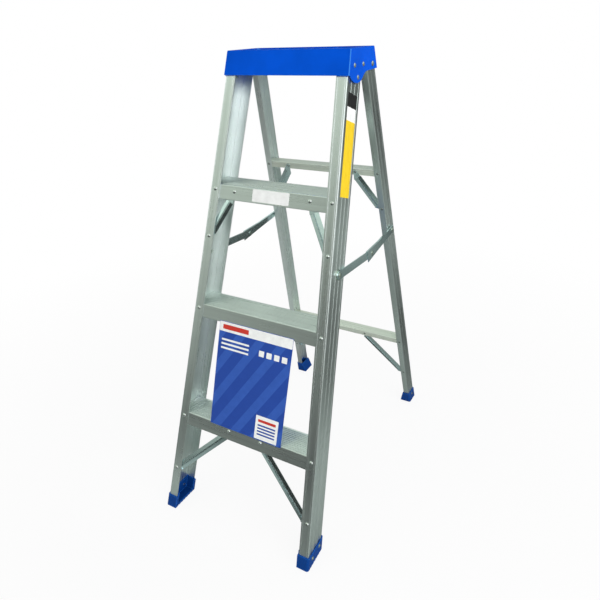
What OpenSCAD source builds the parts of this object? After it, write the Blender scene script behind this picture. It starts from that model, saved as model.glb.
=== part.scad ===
// Folding step ladder: a moulded cap, three ribbed steps, a braced rear frame and two locking spreaders.
// Millimetres, +Z up. The origin is on the floor midway between the front and rear feet; the steps face -Y.
// The ladder stands open, with the spreaders locked.

/* [Overall] */
// Height of the cap's top above the floor
overall_height = 1145; // [1125:5:1165]
// Lean of the front frame from the vertical, in degrees
front_lean = 18.5; // [17.5:0.5:19.5]
// Lean of the rear frame from the vertical, in degrees
rear_lean = 14.4; // [13.4:0.2:15.4]
// Width over the front rails at the floor
base_width = 452; // [440:2:470]
// Width over the front rails at the height of the cap's top
top_width = 310; // [300:2:320]

/* [Front rails] */
// Depth of the channel's web
front_web = 70; // [66:1:74]
// Width of the flanges, which point inwards
front_flange = 27; // [24:1:30]
// Wall of the channel
front_wall = 2; // [1.8:0.1:2.4]
// Radius of the channel's outer corners
front_corner = 3; // [2:0.5:4]
// Plain band along each edge of the web
front_band = 9; // [7:0.5:10]
// Width of the two raised ribs on the web
front_rib = 5; // [4:0.5:6]
// Depth of the grooves between the ribs
groove_depth = 0.7; // [0.4:0.1:0.9]
// Width of the fine lines in the flanges
line_width = 1.6; // [1:0.2:2]
// Distance of the fine lines from the flange's edges
line_inset = 4; // [3.5:0.5:4.5]

/* [Rear rails] */
// Depth of the channel's web
rear_web = 42; // [40:1:44]
// Width of the flanges, which point inwards
rear_flange = 18; // [17:1:20]
// Wall of the channel
rear_wall = 1.8; // [1.6:0.1:2]
// Radius of the channel's outer corners
rear_corner = 2.5; // [2:0.5:3]
// Plain band along each edge of the web
rear_band = 6; // [5:0.5:7]
// Width of the raised rib on the web
rear_rib = 8; // [6:1:10]

/* [Steps] */
// Distance from step to step along the front rails
step_pitch = 304.8; // [296:0.8:312]
// Height of the bottom tread's front edge
first_step = 276; // [266:2:286]
// Height of the step's skirts
step_skirt = 35; // [32:1:38]
// Wall of the step
step_wall = 1.8; // [1.6:0.1:2.2]
// Radius of the tread's front edge
step_nose = 3; // [2:0.5:4]
// Number of ribs along the tread
tread_ribs = 11; // [8:1:12]
// Height of those ribs
tread_rib_height = 1; // [0.6:0.1:1.4]
// Width of those ribs
tread_rib_width = 2.4; // [1.6:0.2:3]

/* [Rear bars] */
// Height of the upper bar's front edge
upper_bar = 859; // [845:2:873]
// Height of the lower bar's front edge
lower_bar = 287; // [275:2:299]
// Height of the bar's skirts
bar_skirt = 18; // [16:1:20]
// Wall of the bar
bar_wall = 1.5; // [1.2:0.1:1.8]
// Radius of the bar's front edge
bar_nose = 2.5; // [2:0.5:3]

/* [Braces] */
// Width of the braces' upper wing and of their ends
brace_height = 11; // [10:0.5:12]
// Width of the braces' lower wing
brace_wing = 10; // [8:0.5:12]
// Slant of both wings, in degrees
brace_fold = 12; // [8:1:18]
// Width of the groove between the wings
brace_groove = 1.6; // [1.2:0.2:2]
// Depth of that groove
brace_bead = 3; // [2.4:0.2:3.6]
// Wall of the braces
brace_wall = 1.2; // [1:0.1:1.4]
// Bottom step brace: rivet's distance from the middle on the step
bottom_brace_step = 48.5; // [40:0.5:56]
// Bottom step brace: distance of the rail's rivet below the step's, along the rail
bottom_brace_rail = 159; // [150:1:168]
// Top step brace: rivet's distance from the middle on the step
top_brace_step = 104; // [98:0.5:108]
// Top step brace: distance of the rail's rivet below the step's, along the rail
top_brace_rail = 115; // [107:1:123]
// Lower rear brace: rivet's distance from the middle on the bar
lower_brace_bar = 77; // [70:1:84]
// Lower rear brace: distance of the rail's rivet below the bar's, along the rail
lower_brace_rail = 140; // [133:1:147]
// Upper rear brace: rivet's distance from the middle on the bar
upper_brace_bar = 101; // [96:1:104]
// Upper rear brace: distance of the rail's rivet below the bar's, along the rail
upper_brace_rail = 102; // [95:1:109]

/* [Cap] */
// Height of the cap's front face
cap_front_height = 51.5; // [49:0.5:53]
// Height of the cap's rear face
cap_rear_height = 46.5; // [44:0.5:48]
// Wall of the cap's front and rear
cap_wall = 3; // [2.6:0.1:3.2]
// Wall of the cap's cheeks
cheek_wall = 2.5; // [2.3:0.1:2.8]
// Radius of the cap's edges
cap_round = 2.5; // [2:0.5:4]
// Depth of the tray in the cap's top
tray_depth = 3; // [2:0.5:3.5]
// Width of the rim around the tray
tray_rim = 13; // [11:1:15]
// Radius of the tray's corners
tray_corner = 10; // [8:1:12]
// Radius of the cheek's lobe over the front rail
lobe_radius = 46.5; // [45:0.5:48]
// Radius of the hollow curve behind the lobe
lobe_fillet = 50; // [46:1:54]
// Distance of the lobe's centre below the cap's top
lobe_drop = 23; // [22:0.5:24]
// Distance of the lobe's centre behind the front rails' face
lobe_back = 29; // [27:0.5:31]
// Distance of the rear frame's pivot below the cap's top
pivot_drop = 36; // [34:0.5:38]
// Distance of that pivot behind the front rails' face
pivot_back = 118; // [115:0.5:121]
// Diameter of the larger tool hole
tool_hole_large = 28; // [24:1:30]
// Diameter of the smaller tool holes
tool_hole_small = 20; // [16:1:22]
// Length of the tool slot
tool_slot = 64; // [56:2:72]
// Width of the tool slot
tool_slot_width = 14; // [12:1:16]
// Thickness of the steel hinge plates in the cheeks
hinge_plate = 1.2; // [1:0.1:1.4]

/* [Feet] */
// Thickness of the soles
sole = 7; // [6:0.5:8]
// Wall of the feet
foot_wall = 3; // [2.6:0.1:3.2]
// Height of the front foot's outer band
front_foot_band = 32; // [30:1:34]
// Height of the front foot's inner panel
front_foot_panel = 39; // [37:1:41]
// Height of the rear foot's outer band
rear_foot_band = 38; // [36:1:40]
// How far the rear soles spread inwards
rear_foot_flare = 11; // [8:1:13]
// Width of the grooves across the soles
sole_groove = 3; // [2:0.5:3.5]
// Depth of the grooves across the soles
sole_groove_depth = 1.5; // [1:0.25:2]

/* [Spreaders] */
// Place of the front pivot along the front rail, from the floor
spreader_front = 731; // [723:1:739]
// Height of the rear pivot
spreader_rear = 686; // [678:1:694]
// Distance of the rear pivot behind the rear rail's front face
spreader_rear_across = 15; // [14:0.5:18]
// Share of the spread that the front arm covers
spreader_split = 0.565; // [0.555:0.005:0.575]
// How far the joint sags below the line between the pivots
spreader_sag = 15; // [13:0.5:17]
// Width of the front arm
arm_width = 20; // [18:1:22]
// Thickness of the front arm
arm_wall = 2.5; // [2.2:0.1:2.8]
// Thickness of the rear arm's plate and stop flange
plate_wall = 1.6; // [1.4:0.1:1.8]
// Length of the stop in front of the joint
stop_tail = 27; // [24:1:30]

/* [Rivets] */
// Diameter of the step, brace, cap and foot rivets
rivet_d = 5; // [4.6:0.2:5.4]
// Diameter of the rivets' domed heads
rivet_head = 10; // [9:0.5:10.5]
// Diameter of the rear frame's rivets
small_rivet_d = 4; // [3.6:0.2:4.4]
// Diameter of their domed heads
small_rivet_head = 7; // [6.5:0.5:8]
// Diameter of the rear frame's pivots
pivot_d = 7; // [6.5:0.5:8]
// Diameter of their domed heads
pivot_head = 11.5; // [11:0.5:13]
// Diameter of the spreaders' pivots
spreader_pivot_d = 6.5; // [6:0.5:7]
// Diameter of the washers under the front spreader pivots
washer_d = 25; // [23:1:27]

/* [Card] */
// Width of the information card
card_width = 216; // [206:2:226]
// Height of the information card
card_height = 279; // [273:1:283]
// Thickness of the information card
card_wall = 0.6; // [0.5:0.1:0.8]

/* [Hidden] */
$fn = 48;

// Colours
alu = [0.74, 0.75, 0.73];
zinc = [0.6, 0.66, 0.68];
rivet_metal = [0.82, 0.82, 0.8];
blue = [0.02, 0.28, 0.78];
dark_blue = [0.03, 0.18, 0.5];
card_blue = [0.1, 0.35, 0.75];

// Clearances
seat_gap = 0.2;
hole_gap = 0.1;
run_gap = 0.05;
cap_gap = 0.6;
plate_gap = 0.15;
tab_gap = 0.05;
cut = 1;

// Frame geometry
half_base = base_width / 2;
slope = (base_width - top_width) / 2 / overall_height;
side_tilt = atan(slope);
front_splay = atan(slope * cos(front_lean));
rear_splay = atan(slope * cos(rear_lean));
// The rear rails stand a little inside the front ones, so that both clear the cheeks' plates
rear_inset = 0.7;
rear_half_base = half_base - rear_inset;
reach = overall_height * 1.3;

// Places from front to back, first counted from the front rails' face on the floor
pivot_z = overall_height - pivot_drop;
pivot_y0 = pivot_z * tan(front_lean) + pivot_back;
rear_y0 = pivot_y0 + pivot_z * tan(rear_lean) - rear_web / 2 / cos(rear_lean);
foot_out = foot_wall + seat_gap;
y_low = -foot_out / cos(front_lean);
y_high = rear_y0 + (rear_web + foot_out) / cos(rear_lean);
front_y = -(y_low + y_high) / 2;
rear_y = rear_y0 + front_y;
pivot_y = pivot_y0 + front_y;
pivot_v = pivot_z / cos(rear_lean) - rear_web / 2 * tan(rear_lean);

// Half width over a rail at a place along the frame
function front_x(v) = half_base - v * tan(front_splay);
function rear_x(v) = rear_half_base - v * tan(rear_splay);
// A place on the side's slanted plane at a height
function up(z) = z / cos(side_tilt);
// How far the front rail's web falls back from the side's plane, at a depth behind the front face
function toe(depth) = slope * cos(side_tilt) * sin(front_lean) * depth;

// Steps and bars
step_u0 = front_wall + seat_gap;
step_u1 = front_web - front_wall - seat_gap;
step_rise = (step_u1 - step_u0) * tan(front_lean);
step_rivet_drop = 12;
function step_v(i) = first_step / cos(front_lean) + i * step_pitch + step_u0 * tan(front_lean);
bar_u0 = rear_wall + seat_gap;
bar_u1 = rear_web - rear_wall - seat_gap;
bar_fall = (bar_u1 - bar_u0) * tan(rear_lean);
upper_bar_v = upper_bar / cos(rear_lean) - bar_u0 * tan(rear_lean);
lower_bar_v = lower_bar / cos(rear_lean) - bar_u0 * tan(rear_lean);

// Cap
cap_front = cap_gap + cap_wall;
plate_n = 0.4;
cheek_in = plate_n + hinge_plate + plate_gap;
cheek_out = cheek_in + cheek_wall;
deck_z = overall_height - tray_depth - cap_wall;
rail_top = deck_z - seat_gap;
front_low = overall_height - cap_front_height;
rear_low = overall_height - cap_rear_height;
lobe_z = overall_height - lobe_drop;
lobe_y = front_y + lobe_z * tan(front_lean) + lobe_back;
// Places of the cheek's rivets: behind the front rails' face and below the cap's top
cap_rivet_a = [22, 34];
cap_rivet_b = [44, 58.5];
cap_rivet_c = [67.2, 34];
function cheek_point(p) = [front_y + (overall_height - p[1]) * tan(front_lean) + p[0],
    up(overall_height - p[1])];
function cap_front_y(z, n) = front_y + z * tan(front_lean) - n / cos(front_lean);
function cap_rear_y(z, n) = pivot_y + (pivot_z - z) * tan(rear_lean) + (rear_web / 2 + n) / cos(rear_lean);
function cap_side_x(z, n) = half_base - slope * z + n / cos(side_tilt);

// Spreaders, on the side's slanted plane
arm_n = 1.5;
plate_in = arm_n + arm_wall + seat_gap;
plate_out = plate_in + plate_wall;
flange_in = arm_n - 0.3;
spreader_f = [front_y + front_web / 2 * cos(front_lean) + spreader_front * sin(front_lean),
    up(spreader_front * cos(front_lean) - front_web / 2 * sin(front_lean))];
spreader_r = [rear_y + (spreader_rear_across - spreader_rear * sin(rear_lean)) / cos(rear_lean),
    up(spreader_rear)];
spread = norm(spreader_r - spreader_f);
spread_dir = (spreader_r - spreader_f) / spread;
spreader_j = spreader_f + spreader_split * spread * spread_dir
    + spreader_sag * [spread_dir[1], -spread_dir[0]];
front_arm = norm(spreader_j - spreader_f);
rear_arm = norm(spreader_r - spreader_j);
front_arm_angle = atan2(spreader_j[1] - spreader_f[1], spreader_j[0] - spreader_f[0]);
rear_arm_angle = atan2(spreader_r[1] - spreader_j[1], spreader_r[0] - spreader_j[0]);
lock_angle = rear_arm_angle - front_arm_angle;
// The stop flange lies on the front arm's upper edge at the tail
stop_top = arm_width / 2 / cos(lock_angle) + stop_tail * tan(lock_angle) + seat_gap + plate_wall;
// Outline of the rear arm's plate, from its joint
stop_low = 12.6;
waist = 45;
waist_top = 11;
waist_low = 10;
arm_end = 10;
rear_end = 8.5;

// Rivet heads and tails
head_share = 0.24;
tail_share = 1.5;
tail_height = 1.6;

// Placing
module front_frame() {
    translate([0, front_y, 0]) rotate([-front_lean, 0, 0]) children();
}

module rear_frame() {
    translate([0, rear_y, 0]) rotate([rear_lean, 0, 0]) children();
}

// The right side's slanted plane: x runs back, y runs up the side and z points out
module side_plane(n = 0) {
    translate([half_base, 0, 0]) rotate([0, -side_tilt, 0]) rotate([90, 0, 90]) translate([0, 0, n])
        children();
}

module left() {
    mirror([1, 0, 0]) children();
}

module both() {
    children();
    left() children();
}

// All that lies between two heights
module slab(low, high) {
    translate([-reach, -reach, low]) cube([2 * reach, 2 * reach, high - low]);
}

// A 2D outline in depth and height, drawn along X
module along_x(half_length) {
    rotate([90, 0, 90]) translate([0, 0, -half_length]) linear_extrude(2 * half_length) children();
}

// A 2D outline in width and height, drawn along the depth from one value to another
module along_y(from, to) {
    translate([0, to, 0]) rotate([90, 0, 0]) linear_extrude(to - from) children();
}

module stadium(length, width) {
    translate([0, -width / 2]) square([length, width]);
    circle(width / 2);
    translate([length, 0]) circle(width / 2);
}

module rounded(size, radius) {
    translate([radius, 0]) square([size[0] - 2 * radius, size[1]]);
    translate([0, radius]) square([size[0], size[1] - 2 * radius]);
    for (x = [radius, size[0] - radius], y = [radius, size[1] - radius]) {
        translate([x, y]) circle(radius);
    }
}

// A rivet with its domed head above z = 0, its shank below and an upset tail under the grip
module rivet(d, head, grip) {
    head_height = head * head_share;
    ball = (head * head / 4 + head_height * head_height) / 2 / head_height;
    intersection() {
        translate([0, 0, head_height - ball]) sphere(ball);
        cylinder(d = head + cut, h = head_height + cut);
    }
    translate([0, 0, -grip]) cylinder(d = d, h = grip + head_height / 2);
    translate([0, 0, -grip - tail_height]) cylinder(d = d * tail_share, h = tail_height);
}

module hole(d, length) {
    translate([0, 0, -length]) cylinder(d = d + 2 * hole_gap, h = 2 * length);
}

// A place on a frame's face, with the outside of a front or a rear flange upwards
module front_face(x, depth, v) {
    translate([x, depth, v]) rotate([90, 0, 0]) children();
}

module rear_face(x, depth, v) {
    translate([x, depth, v]) rotate([-90, 0, 0]) children();
}

// Channel rails
module channel(web, flange, wall, corner, grow = 0) {
    difference() {
        union() {
            translate([-flange - grow, -grow]) square([flange + grow - corner, web + 2 * grow]);
            translate([-flange - grow, corner]) square([flange + 2 * grow, web - 2 * corner]);
            for (y = [corner, web - corner]) {
                translate([-corner, y]) circle(corner + grow);
            }
        }
        translate([-flange - grow - cut, wall + grow])
            square([flange + cut - wall, web - 2 * wall - 2 * grow]);
    }
}

module flange_lines(web, flange) {
    for (x = [-flange + line_inset, -line_inset - line_width], y = [-cut, web - groove_depth / 2]) {
        translate([x, y]) square([line_width, cut + groove_depth / 2]);
    }
}

module front_section() {
    groove = (front_web - 2 * front_band - 2 * front_rib) / 3;
    difference() {
        channel(front_web, front_flange, front_wall, front_corner);
        for (i = [0:2]) {
            translate([-groove_depth, front_band + i * (groove + front_rib)])
                square([cut + groove_depth, groove]);
        }
        flange_lines(front_web, front_flange);
    }
}

module rear_section() {
    groove = (rear_web - 2 * rear_band - rear_rib) / 2;
    difference() {
        channel(rear_web, rear_flange, rear_wall, rear_corner);
        for (i = [0:1]) {
            translate([-groove_depth, rear_band + i * (groove + rear_rib)])
                square([cut + groove_depth, groove]);
        }
    }
}

module along_front_rail() {
    front_frame() translate([half_base, 0, 0]) rotate([0, -front_splay, 0])
        translate([0, 0, -front_web]) linear_extrude(reach) children();
}

module along_rear_rail() {
    rear_frame() translate([rear_half_base, 0, 0]) rotate([0, -rear_splay, 0])
        translate([0, 0, -front_web]) linear_extrude(reach) children();
}

// Rivet places on the front frame
function flange_x(v) = front_x(v) - front_flange / 2;
function step_front_v(i) = step_v(i) - step_rivet_drop;
function step_rear_v(i) = step_v(i) + step_rise - step_rivet_drop;
brace_shift = 2;
bottom_step_hole = [bottom_brace_step, step_v(0) - step_rivet_drop];
top_step_hole = [top_brace_step, step_v(2) - step_rivet_drop - brace_shift];
bottom_rail_v = bottom_step_hole[1] - bottom_brace_rail;
top_rail_v = top_step_hole[1] - top_brace_rail;
bottom_rail_hole = [flange_x(bottom_rail_v) + brace_shift, bottom_rail_v];
top_rail_hole = [flange_x(top_rail_v), top_rail_v];
// Foot rivets: behind the rail's front face and along the rail
front_foot_holes = [[18, 26], [52.5, 41]];
rear_foot_holes = [[rear_web / 2, 22]];

module front_rail() {
    difference() {
        intersection() {
            along_front_rail() front_section();
            slab(sole, rail_top);
        }
        front_frame() {
            for (i = [0:2]) {
                front_face(flange_x(step_front_v(i)), 0, step_front_v(i)) hole(rivet_d, 2 * front_wall);
                rear_face(flange_x(step_rear_v(i)), front_web, step_rear_v(i)) hole(rivet_d, 2 * front_wall);
            }
            for (p = [bottom_rail_hole, top_rail_hole]) {
                front_face(p[0], 0, p[1]) hole(rivet_d, 2 * front_wall);
            }
        }
        for (p = [cap_rivet_a, cap_rivet_b, cap_rivet_c]) {
            side_plane() translate(cheek_point(p)) hole(rivet_d, 5 * front_wall);
        }
        on_front_web(front_foot_holes) hole(rivet_d, 3 * front_wall);
        side_plane() translate(spreader_f) hole(spreader_pivot_d, 5 * front_wall);
    }
}

// Places on the outer face of a rail's web, with the outside upwards
module on_front_web(places) {
    for (p = places) {
        front_frame() translate([half_base, 0, 0]) rotate([0, -front_splay, 0])
            translate([0, p[0], p[1]]) rotate([0, 90, 0]) children();
    }
}

module on_rear_web(places) {
    for (p = places) {
        rear_frame() translate([rear_half_base, 0, 0]) rotate([0, -rear_splay, 0])
            translate([0, p[0], p[1]]) rotate([0, 90, 0]) children();
    }
}

module front_rail_right() {
    color(alu) front_rail();
}

module front_rail_left() {
    color(alu) left() front_rail();
}

// Steps and bars: a folded section with a level top and skirts along the frame. Ribs come in as children
module tread(u0, u1, v, tilt, skirt, wall, nose) {
    rise = (u1 - u0) * tan(tilt);
    run = nose / tan(45 + tilt / 2);
    under = wall / cos(tilt);
    low = v - skirt - 2 * abs(rise);
    difference() {
        union() {
            along_x(half_base) polygon([
                [u0, v - skirt], [u0, v - run], [u0 + nose, v - run],
                [u0 + run * cos(tilt), v + run * sin(tilt)], [u1, v + rise], [u1, v + rise - skirt]
            ]);
            along_x(half_base) translate([u0 + nose, v - run]) circle(nose);
            children();
        }
        along_x(half_base + cut) polygon([
            [u0 + wall, low], [u0 + wall, v + wall * tan(tilt) - under],
            [u1 - wall, v + rise - wall * tan(tilt) - under], [u1 - wall, low]
        ]);
    }
}

module step(i) {
    v = step_v(i);
    rib_pitch = (step_u1 - step_u0) / cos(front_lean) / (tread_ribs + 1);
    inner = front_wall / cos(front_splay) + seat_gap;
    low = v - step_skirt;
    high = v + step_rise + step_skirt;
    color(alu) front_frame() difference() {
        intersection() {
            tread(step_u0, step_u1, v, front_lean, step_skirt, step_wall, step_nose)
                for (k = [1:tread_ribs]) {
                    along_x(half_base) translate([step_u0, v]) rotate(front_lean)
                        translate([k * rib_pitch - tread_rib_width / 2, -step_wall / 2])
                            square([tread_rib_width, step_wall / 2 + tread_rib_height]);
                }
            along_y(0, front_web) polygon([
                [front_x(low) - inner, low], [front_x(high) - inner, high],
                [inner - front_x(high), high], [inner - front_x(low), low]
            ]);
        }
        both() {
            front_face(flange_x(step_front_v(i)), step_u0, step_front_v(i)) hole(rivet_d, 2 * step_wall);
            rear_face(flange_x(step_rear_v(i)), step_u1, step_rear_v(i)) hole(rivet_d, 2 * step_wall);
            if (i == 0) front_face(bottom_step_hole[0], step_u0, bottom_step_hole[1])
                hole(rivet_d, 2 * step_wall);
            if (i == 2) front_face(top_step_hole[0], step_u0, top_step_hole[1])
                hole(rivet_d, 2 * step_wall);
        }
    }
}

module step_bottom() {
    step(0);
}

module step_middle() {
    step(1);
}

module step_top() {
    step(2);
}

module step_rivets(i) {
    grip = front_wall + seat_gap + step_wall;
    color(rivet_metal) both() front_frame() {
        front_face(flange_x(step_front_v(i)), 0, step_front_v(i)) rivet(rivet_d, rivet_head, grip);
        rear_face(flange_x(step_rear_v(i)), front_web, step_rear_v(i)) rivet(rivet_d, rivet_head, grip);
    }
}

module step_rivets_bottom() {
    step_rivets(0);
}

module step_rivets_middle() {
    step_rivets(1);
}

module step_rivets_top() {
    step_rivets(2);
}

// Length of brace that lies against a skirt or flange reaching some way past the rivet
function lap(run, axis, beyond, lift) = (beyond + brace_height / 2 + lift) * norm(run) / abs(run[axis]);
// Depths of a brace at its rivets, so that its sloping leaf clears what it lies against
function brace_ends(run, depths, laps) =
    let (steep = (depths[1] - depths[0]) / (norm(run) - laps[0] - laps[1]))
    [depths[0] - steep * laps[0], depths[1] + steep * laps[1]];

// A pressed brace between two rivets: two wings that slant back from a groove. The upper wing lies
// above the line of the rivets by a lift, and the blank narrows to a flat tab round each rivet
module brace(from, run, ends, from_tab, to_tab, d, lift) {
    flat = norm(run);
    sink = ends[1] - ends[0];
    length = norm([flat, sink]);
    body = length - from_tab - to_tab;
    edge = brace_height / 2;
    fold = edge - lift;
    top = brace_height * cos(brace_fold) - fold;
    far = fold + brace_groove + brace_wing * cos(brace_fold);
    translate([from[0], ends[0], from[1]]) rotate([0, -atan2(run[1], run[0]), 0])
        rotate([0, 0, atan2(sink, flat)]) mirror([0, 0, 1]) difference() {
            union() {
                for (end = [[0, from_tab], [length, length - to_tab]]) {
                    along_y(0, brace_wall) translate([end[0], 0]) circle(edge, $fn = 64);
                    along_y(0, brace_wall)
                        polygon([[end[0], -edge], [end[0], edge], [end[1], far], [end[1], -top]]);
                }
                translate([from_tab, 0, fold]) rotate([brace_fold, 0, 0])
                    translate([0, 0, -brace_height]) cube([body, brace_wall, brace_height]);
                translate([from_tab, 0, fold - brace_wall]) cube([body, brace_bead + brace_wall, brace_wall]);
                translate([from_tab, brace_bead, fold - brace_wall])
                    cube([body, brace_wall, brace_groove + 2 * brace_wall]);
                translate([from_tab, 0, fold + brace_groove])
                    cube([body, brace_bead + brace_wall, brace_wall]);
                for (x = [from_tab, length - to_tab - brace_wall]) {
                    translate([x, 0, fold - brace_wall])
                        cube([brace_wall, brace_bead + brace_wall, brace_groove + 2 * brace_wall]);
                }
                translate([from_tab, 0, fold + brace_groove]) rotate([-brace_fold, 0, 0])
                    cube([body, brace_wall, brace_wing]);
            }
            for (x = [0, length]) {
                translate([x, 0, 0]) rotate([90, 0, 0]) hole(d, 2 * brace_wall);
            }
        }
}

front_tab = 13;
// Lift of the braces' upper wings above the line of their rivets
bottom_lift = 2;
top_lift = 5;
rear_lift = 0;
top_tab = 28;
behind_skirt = step_u0 + step_wall + tab_gap;
behind_flange = front_wall + 2 * tab_gap;
bottom_run = bottom_rail_hole - bottom_step_hole;
top_run = top_rail_hole - top_step_hole;
bottom_ends = brace_ends(bottom_run, [behind_skirt, behind_flange],
    [lap(bottom_run, 1, step_skirt - step_rivet_drop, bottom_lift), 0]);
top_ends = brace_ends(top_run, [behind_skirt, behind_flange],
    [lap(top_run, 1, step_skirt - step_rivet_drop, top_lift), -brace_height / 2]);

module bottom_step_brace() {
    front_frame() brace(bottom_step_hole, bottom_run, bottom_ends, front_tab, front_tab, rivet_d, bottom_lift);
}

module top_step_brace() {
    front_frame() brace(top_step_hole, top_run, top_ends, top_tab, front_tab, rivet_d, top_lift);
}

module bottom_step_brace_right() {
    color(zinc) bottom_step_brace();
}

module bottom_step_brace_left() {
    color(zinc) left() bottom_step_brace();
}

module top_step_brace_right() {
    color(zinc) top_step_brace();
}

module top_step_brace_left() {
    color(zinc) left() top_step_brace();
}

module brace_rivets(step_hole, rail_hole, ends) {
    leaf = brace_wall + 2 * tab_gap;
    color(rivet_metal) both() front_frame() {
        front_face(step_hole[0], step_u0, step_hole[1]) rivet(rivet_d, rivet_head, ends[0] + leaf - step_u0);
        front_face(rail_hole[0], 0, rail_hole[1]) rivet(rivet_d, rivet_head, ends[1] + leaf);
    }
}

module bottom_brace_rivets() {
    brace_rivets(bottom_step_hole, bottom_rail_hole, bottom_ends);
}

module top_brace_rivets() {
    brace_rivets(top_step_hole, top_rail_hole, top_ends);
}

// Cap: a rounded shell with a tray on top, tool holes, ribs underneath and a lobe on each cheek
module cap_block() {
    top = overall_height - cap_round;
    low = rear_low - cap_front_height;
    hull() {
        for (z = [low, top], side = [-1, 1]) {
            x = side * cap_side_x(z, cheek_out - cap_round);
            translate([x, cap_front_y(z, cap_front - cap_round), z]) sphere(cap_round, $fn = 32);
            translate([x, cap_rear_y(z, cap_gap + cap_wall - cap_round), z]) sphere(cap_round, $fn = 32);
        }
    }
}

// Side view of the cap between its slanted lower edge and a height
module cap_side_view(high) {
    polygon([
        [front_y, front_low + (front_y - cap_front_y(front_low, cap_front)) * cap_edge],
        [cap_end, rear_low + (cap_end - cap_rear_y(rear_low, cap_front)) * cap_edge],
        [cap_end, high], [front_y, high]
    ]);
}
cap_edge = (rear_low - front_low) / (cap_rear_y(rear_low, cap_front) - cap_front_y(front_low, cap_front));
cap_end = pivot_y + pivot_back;

module cap_hollow() {
    low = front_low - 2 * lobe_radius;
    intersection() {
        along_x(half_base) polygon([
            [cap_front_y(low, cap_gap), low], [cap_front_y(deck_z, cap_gap), deck_z],
            [cap_rear_y(deck_z, cap_gap), deck_z], [cap_rear_y(low, cap_gap), low]
        ]);
        along_y(-reach, reach) polygon([
            [cap_side_x(low, cheek_in), low], [cap_side_x(deck_z, cheek_in), deck_z],
            [-cap_side_x(deck_z, cheek_in), deck_z], [-cap_side_x(low, cheek_in), low]
        ]);
    }
}

// The cheek's lobe hangs below the lower edge over the front rail and runs out in a hollow curve
module lobe_outline() {
    edge = up(rear_low - 1);
    centre = [lobe_y, up(lobe_z)];
    fillet_v = edge - lobe_fillet;
    reach_y = sqrt(pow(lobe_radius + lobe_fillet, 2) - pow(centre[1] - fillet_v, 2));
    fillet_c = [lobe_y + reach_y, fillet_v];
    intersection() {
        union() {
            translate(centre) circle(lobe_radius, $fn = 96);
            difference() {
                polygon([centre, [fillet_c[0], centre[1]], fillet_c]);
                translate(fillet_c) circle(lobe_fillet, $fn = 96);
            }
        }
        translate([front_y, edge - 2 * lobe_radius]) square([reach, 2 * lobe_radius + lobe_drop / 2]);
    }
}

tray_front = cap_front_y(overall_height, cap_front) + tray_rim;
tray_rear = cap_rear_y(overall_height, cap_front) - tray_rim;
tray_half = cap_side_x(overall_height, cheek_out) - tray_rim;
tray_mid = (tray_front + tray_rear) / 2;
cap_rib_wall = 2.4;
cap_rib_height = 16;

module top_cap() {
    color(blue) difference() {
        union() {
            difference() {
                intersection() {
                    cap_block();
                    union() {
                        along_x(half_base) cap_side_view(overall_height);
                        both() side_plane(cheek_in) linear_extrude(cheek_wall + cut) lobe_outline();
                    }
                }
                cap_hollow();
            }
            for (x = [-tray_half / 2, 0, tray_half / 2]) {
                intersection() {
                    translate([x - cap_rib_wall / 2, -reach, deck_z - cap_rib_height])
                        cube([cap_rib_wall, 2 * reach, cap_rib_height + cap_wall / 2]);
                    along_x(half_base) polygon([
                        [cap_front_y(front_low, cap_front / 2), front_low],
                        [cap_front_y(overall_height, cap_front / 2), overall_height],
                        [cap_rear_y(overall_height, cap_front / 2), overall_height],
                        [cap_rear_y(front_low, cap_front / 2), front_low]
                    ]);
                }
            }
        }
        translate([-tray_half, tray_front, overall_height - tray_depth]) linear_extrude(tray_depth + cut)
            rounded([2 * tray_half, tray_rear - tray_front], tray_corner);
        translate([0, tray_mid, deck_z - cut]) linear_extrude(cap_wall + 2 * cut) {
            translate([-tray_half * 0.75, 0]) circle(d = tool_hole_large);
            translate([-tray_half * 0.34, 0]) circle(d = tool_hole_small);
            translate([tray_half * 0.75, 0]) circle(d = tool_hole_small);
            translate([tray_half * 0.3 - tool_slot / 2, 0])
                stadium(tool_slot - tool_slot_width, tool_slot_width);
        }
        both() {
            for (p = [cap_rivet_a, cap_rivet_b, cap_rivet_c]) {
                side_plane(cheek_out) translate(cheek_point(p)) hole(rivet_d, 2 * cheek_wall);
            }
            translate([cap_side_x(pivot_z, cheek_out), pivot_y, pivot_z]) rotate([0, 90, 0])
                hole(pivot_d, 2 * cheek_wall);
        }
    }
}

// Steel plates between the cheeks and the rails
module hinge_plate_outline() {
    a = cheek_point(cap_rivet_a);
    b = cheek_point(cap_rivet_b);
    end = [pivot_y, up(pivot_z)];
    width = 26;
    ear = 9;
    translate(a) rotate(atan2(end[1] - a[1], end[0] - a[0])) stadium(norm(end - a), width);
    translate(b) circle(ear);
    polygon([
        [a[0] - width / 4, a[1]], [b[0] - ear, b[1]], [b[0] + ear, b[1]], [b[0] + 2 * ear, a[1]]
    ]);
}

module hinge_plate() {
    difference() {
        side_plane(plate_n) linear_extrude(hinge_plate) hinge_plate_outline();
        for (p = [cap_rivet_a, cap_rivet_b, cap_rivet_c]) {
            side_plane() translate(cheek_point(p)) hole(rivet_d, 4 * cheek_wall);
        }
        translate([cap_side_x(pivot_z, 0), pivot_y, pivot_z]) rotate([0, 90, 0])
            hole(pivot_d, 4 * cheek_wall);
    }
}

module hinge_plate_right() {
    color(zinc) hinge_plate();
}

module hinge_plate_left() {
    color(zinc) left() hinge_plate();
}

module cap_rivets() {
    rail_grip = cheek_out + toe(front_web / 2) + front_wall + seat_gap;
    color(rivet_metal) both() side_plane(cheek_out) {
        translate(cheek_point(cap_rivet_a)) rivet(rivet_d, rivet_head, rail_grip);
        translate(cheek_point(cap_rivet_b)) rivet(rivet_d, rivet_head, rail_grip + toe(front_web / 4));
        translate(cheek_point(cap_rivet_c)) rivet(rivet_d, rivet_head, rail_grip + toe(front_web / 2));
    }
}

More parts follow.
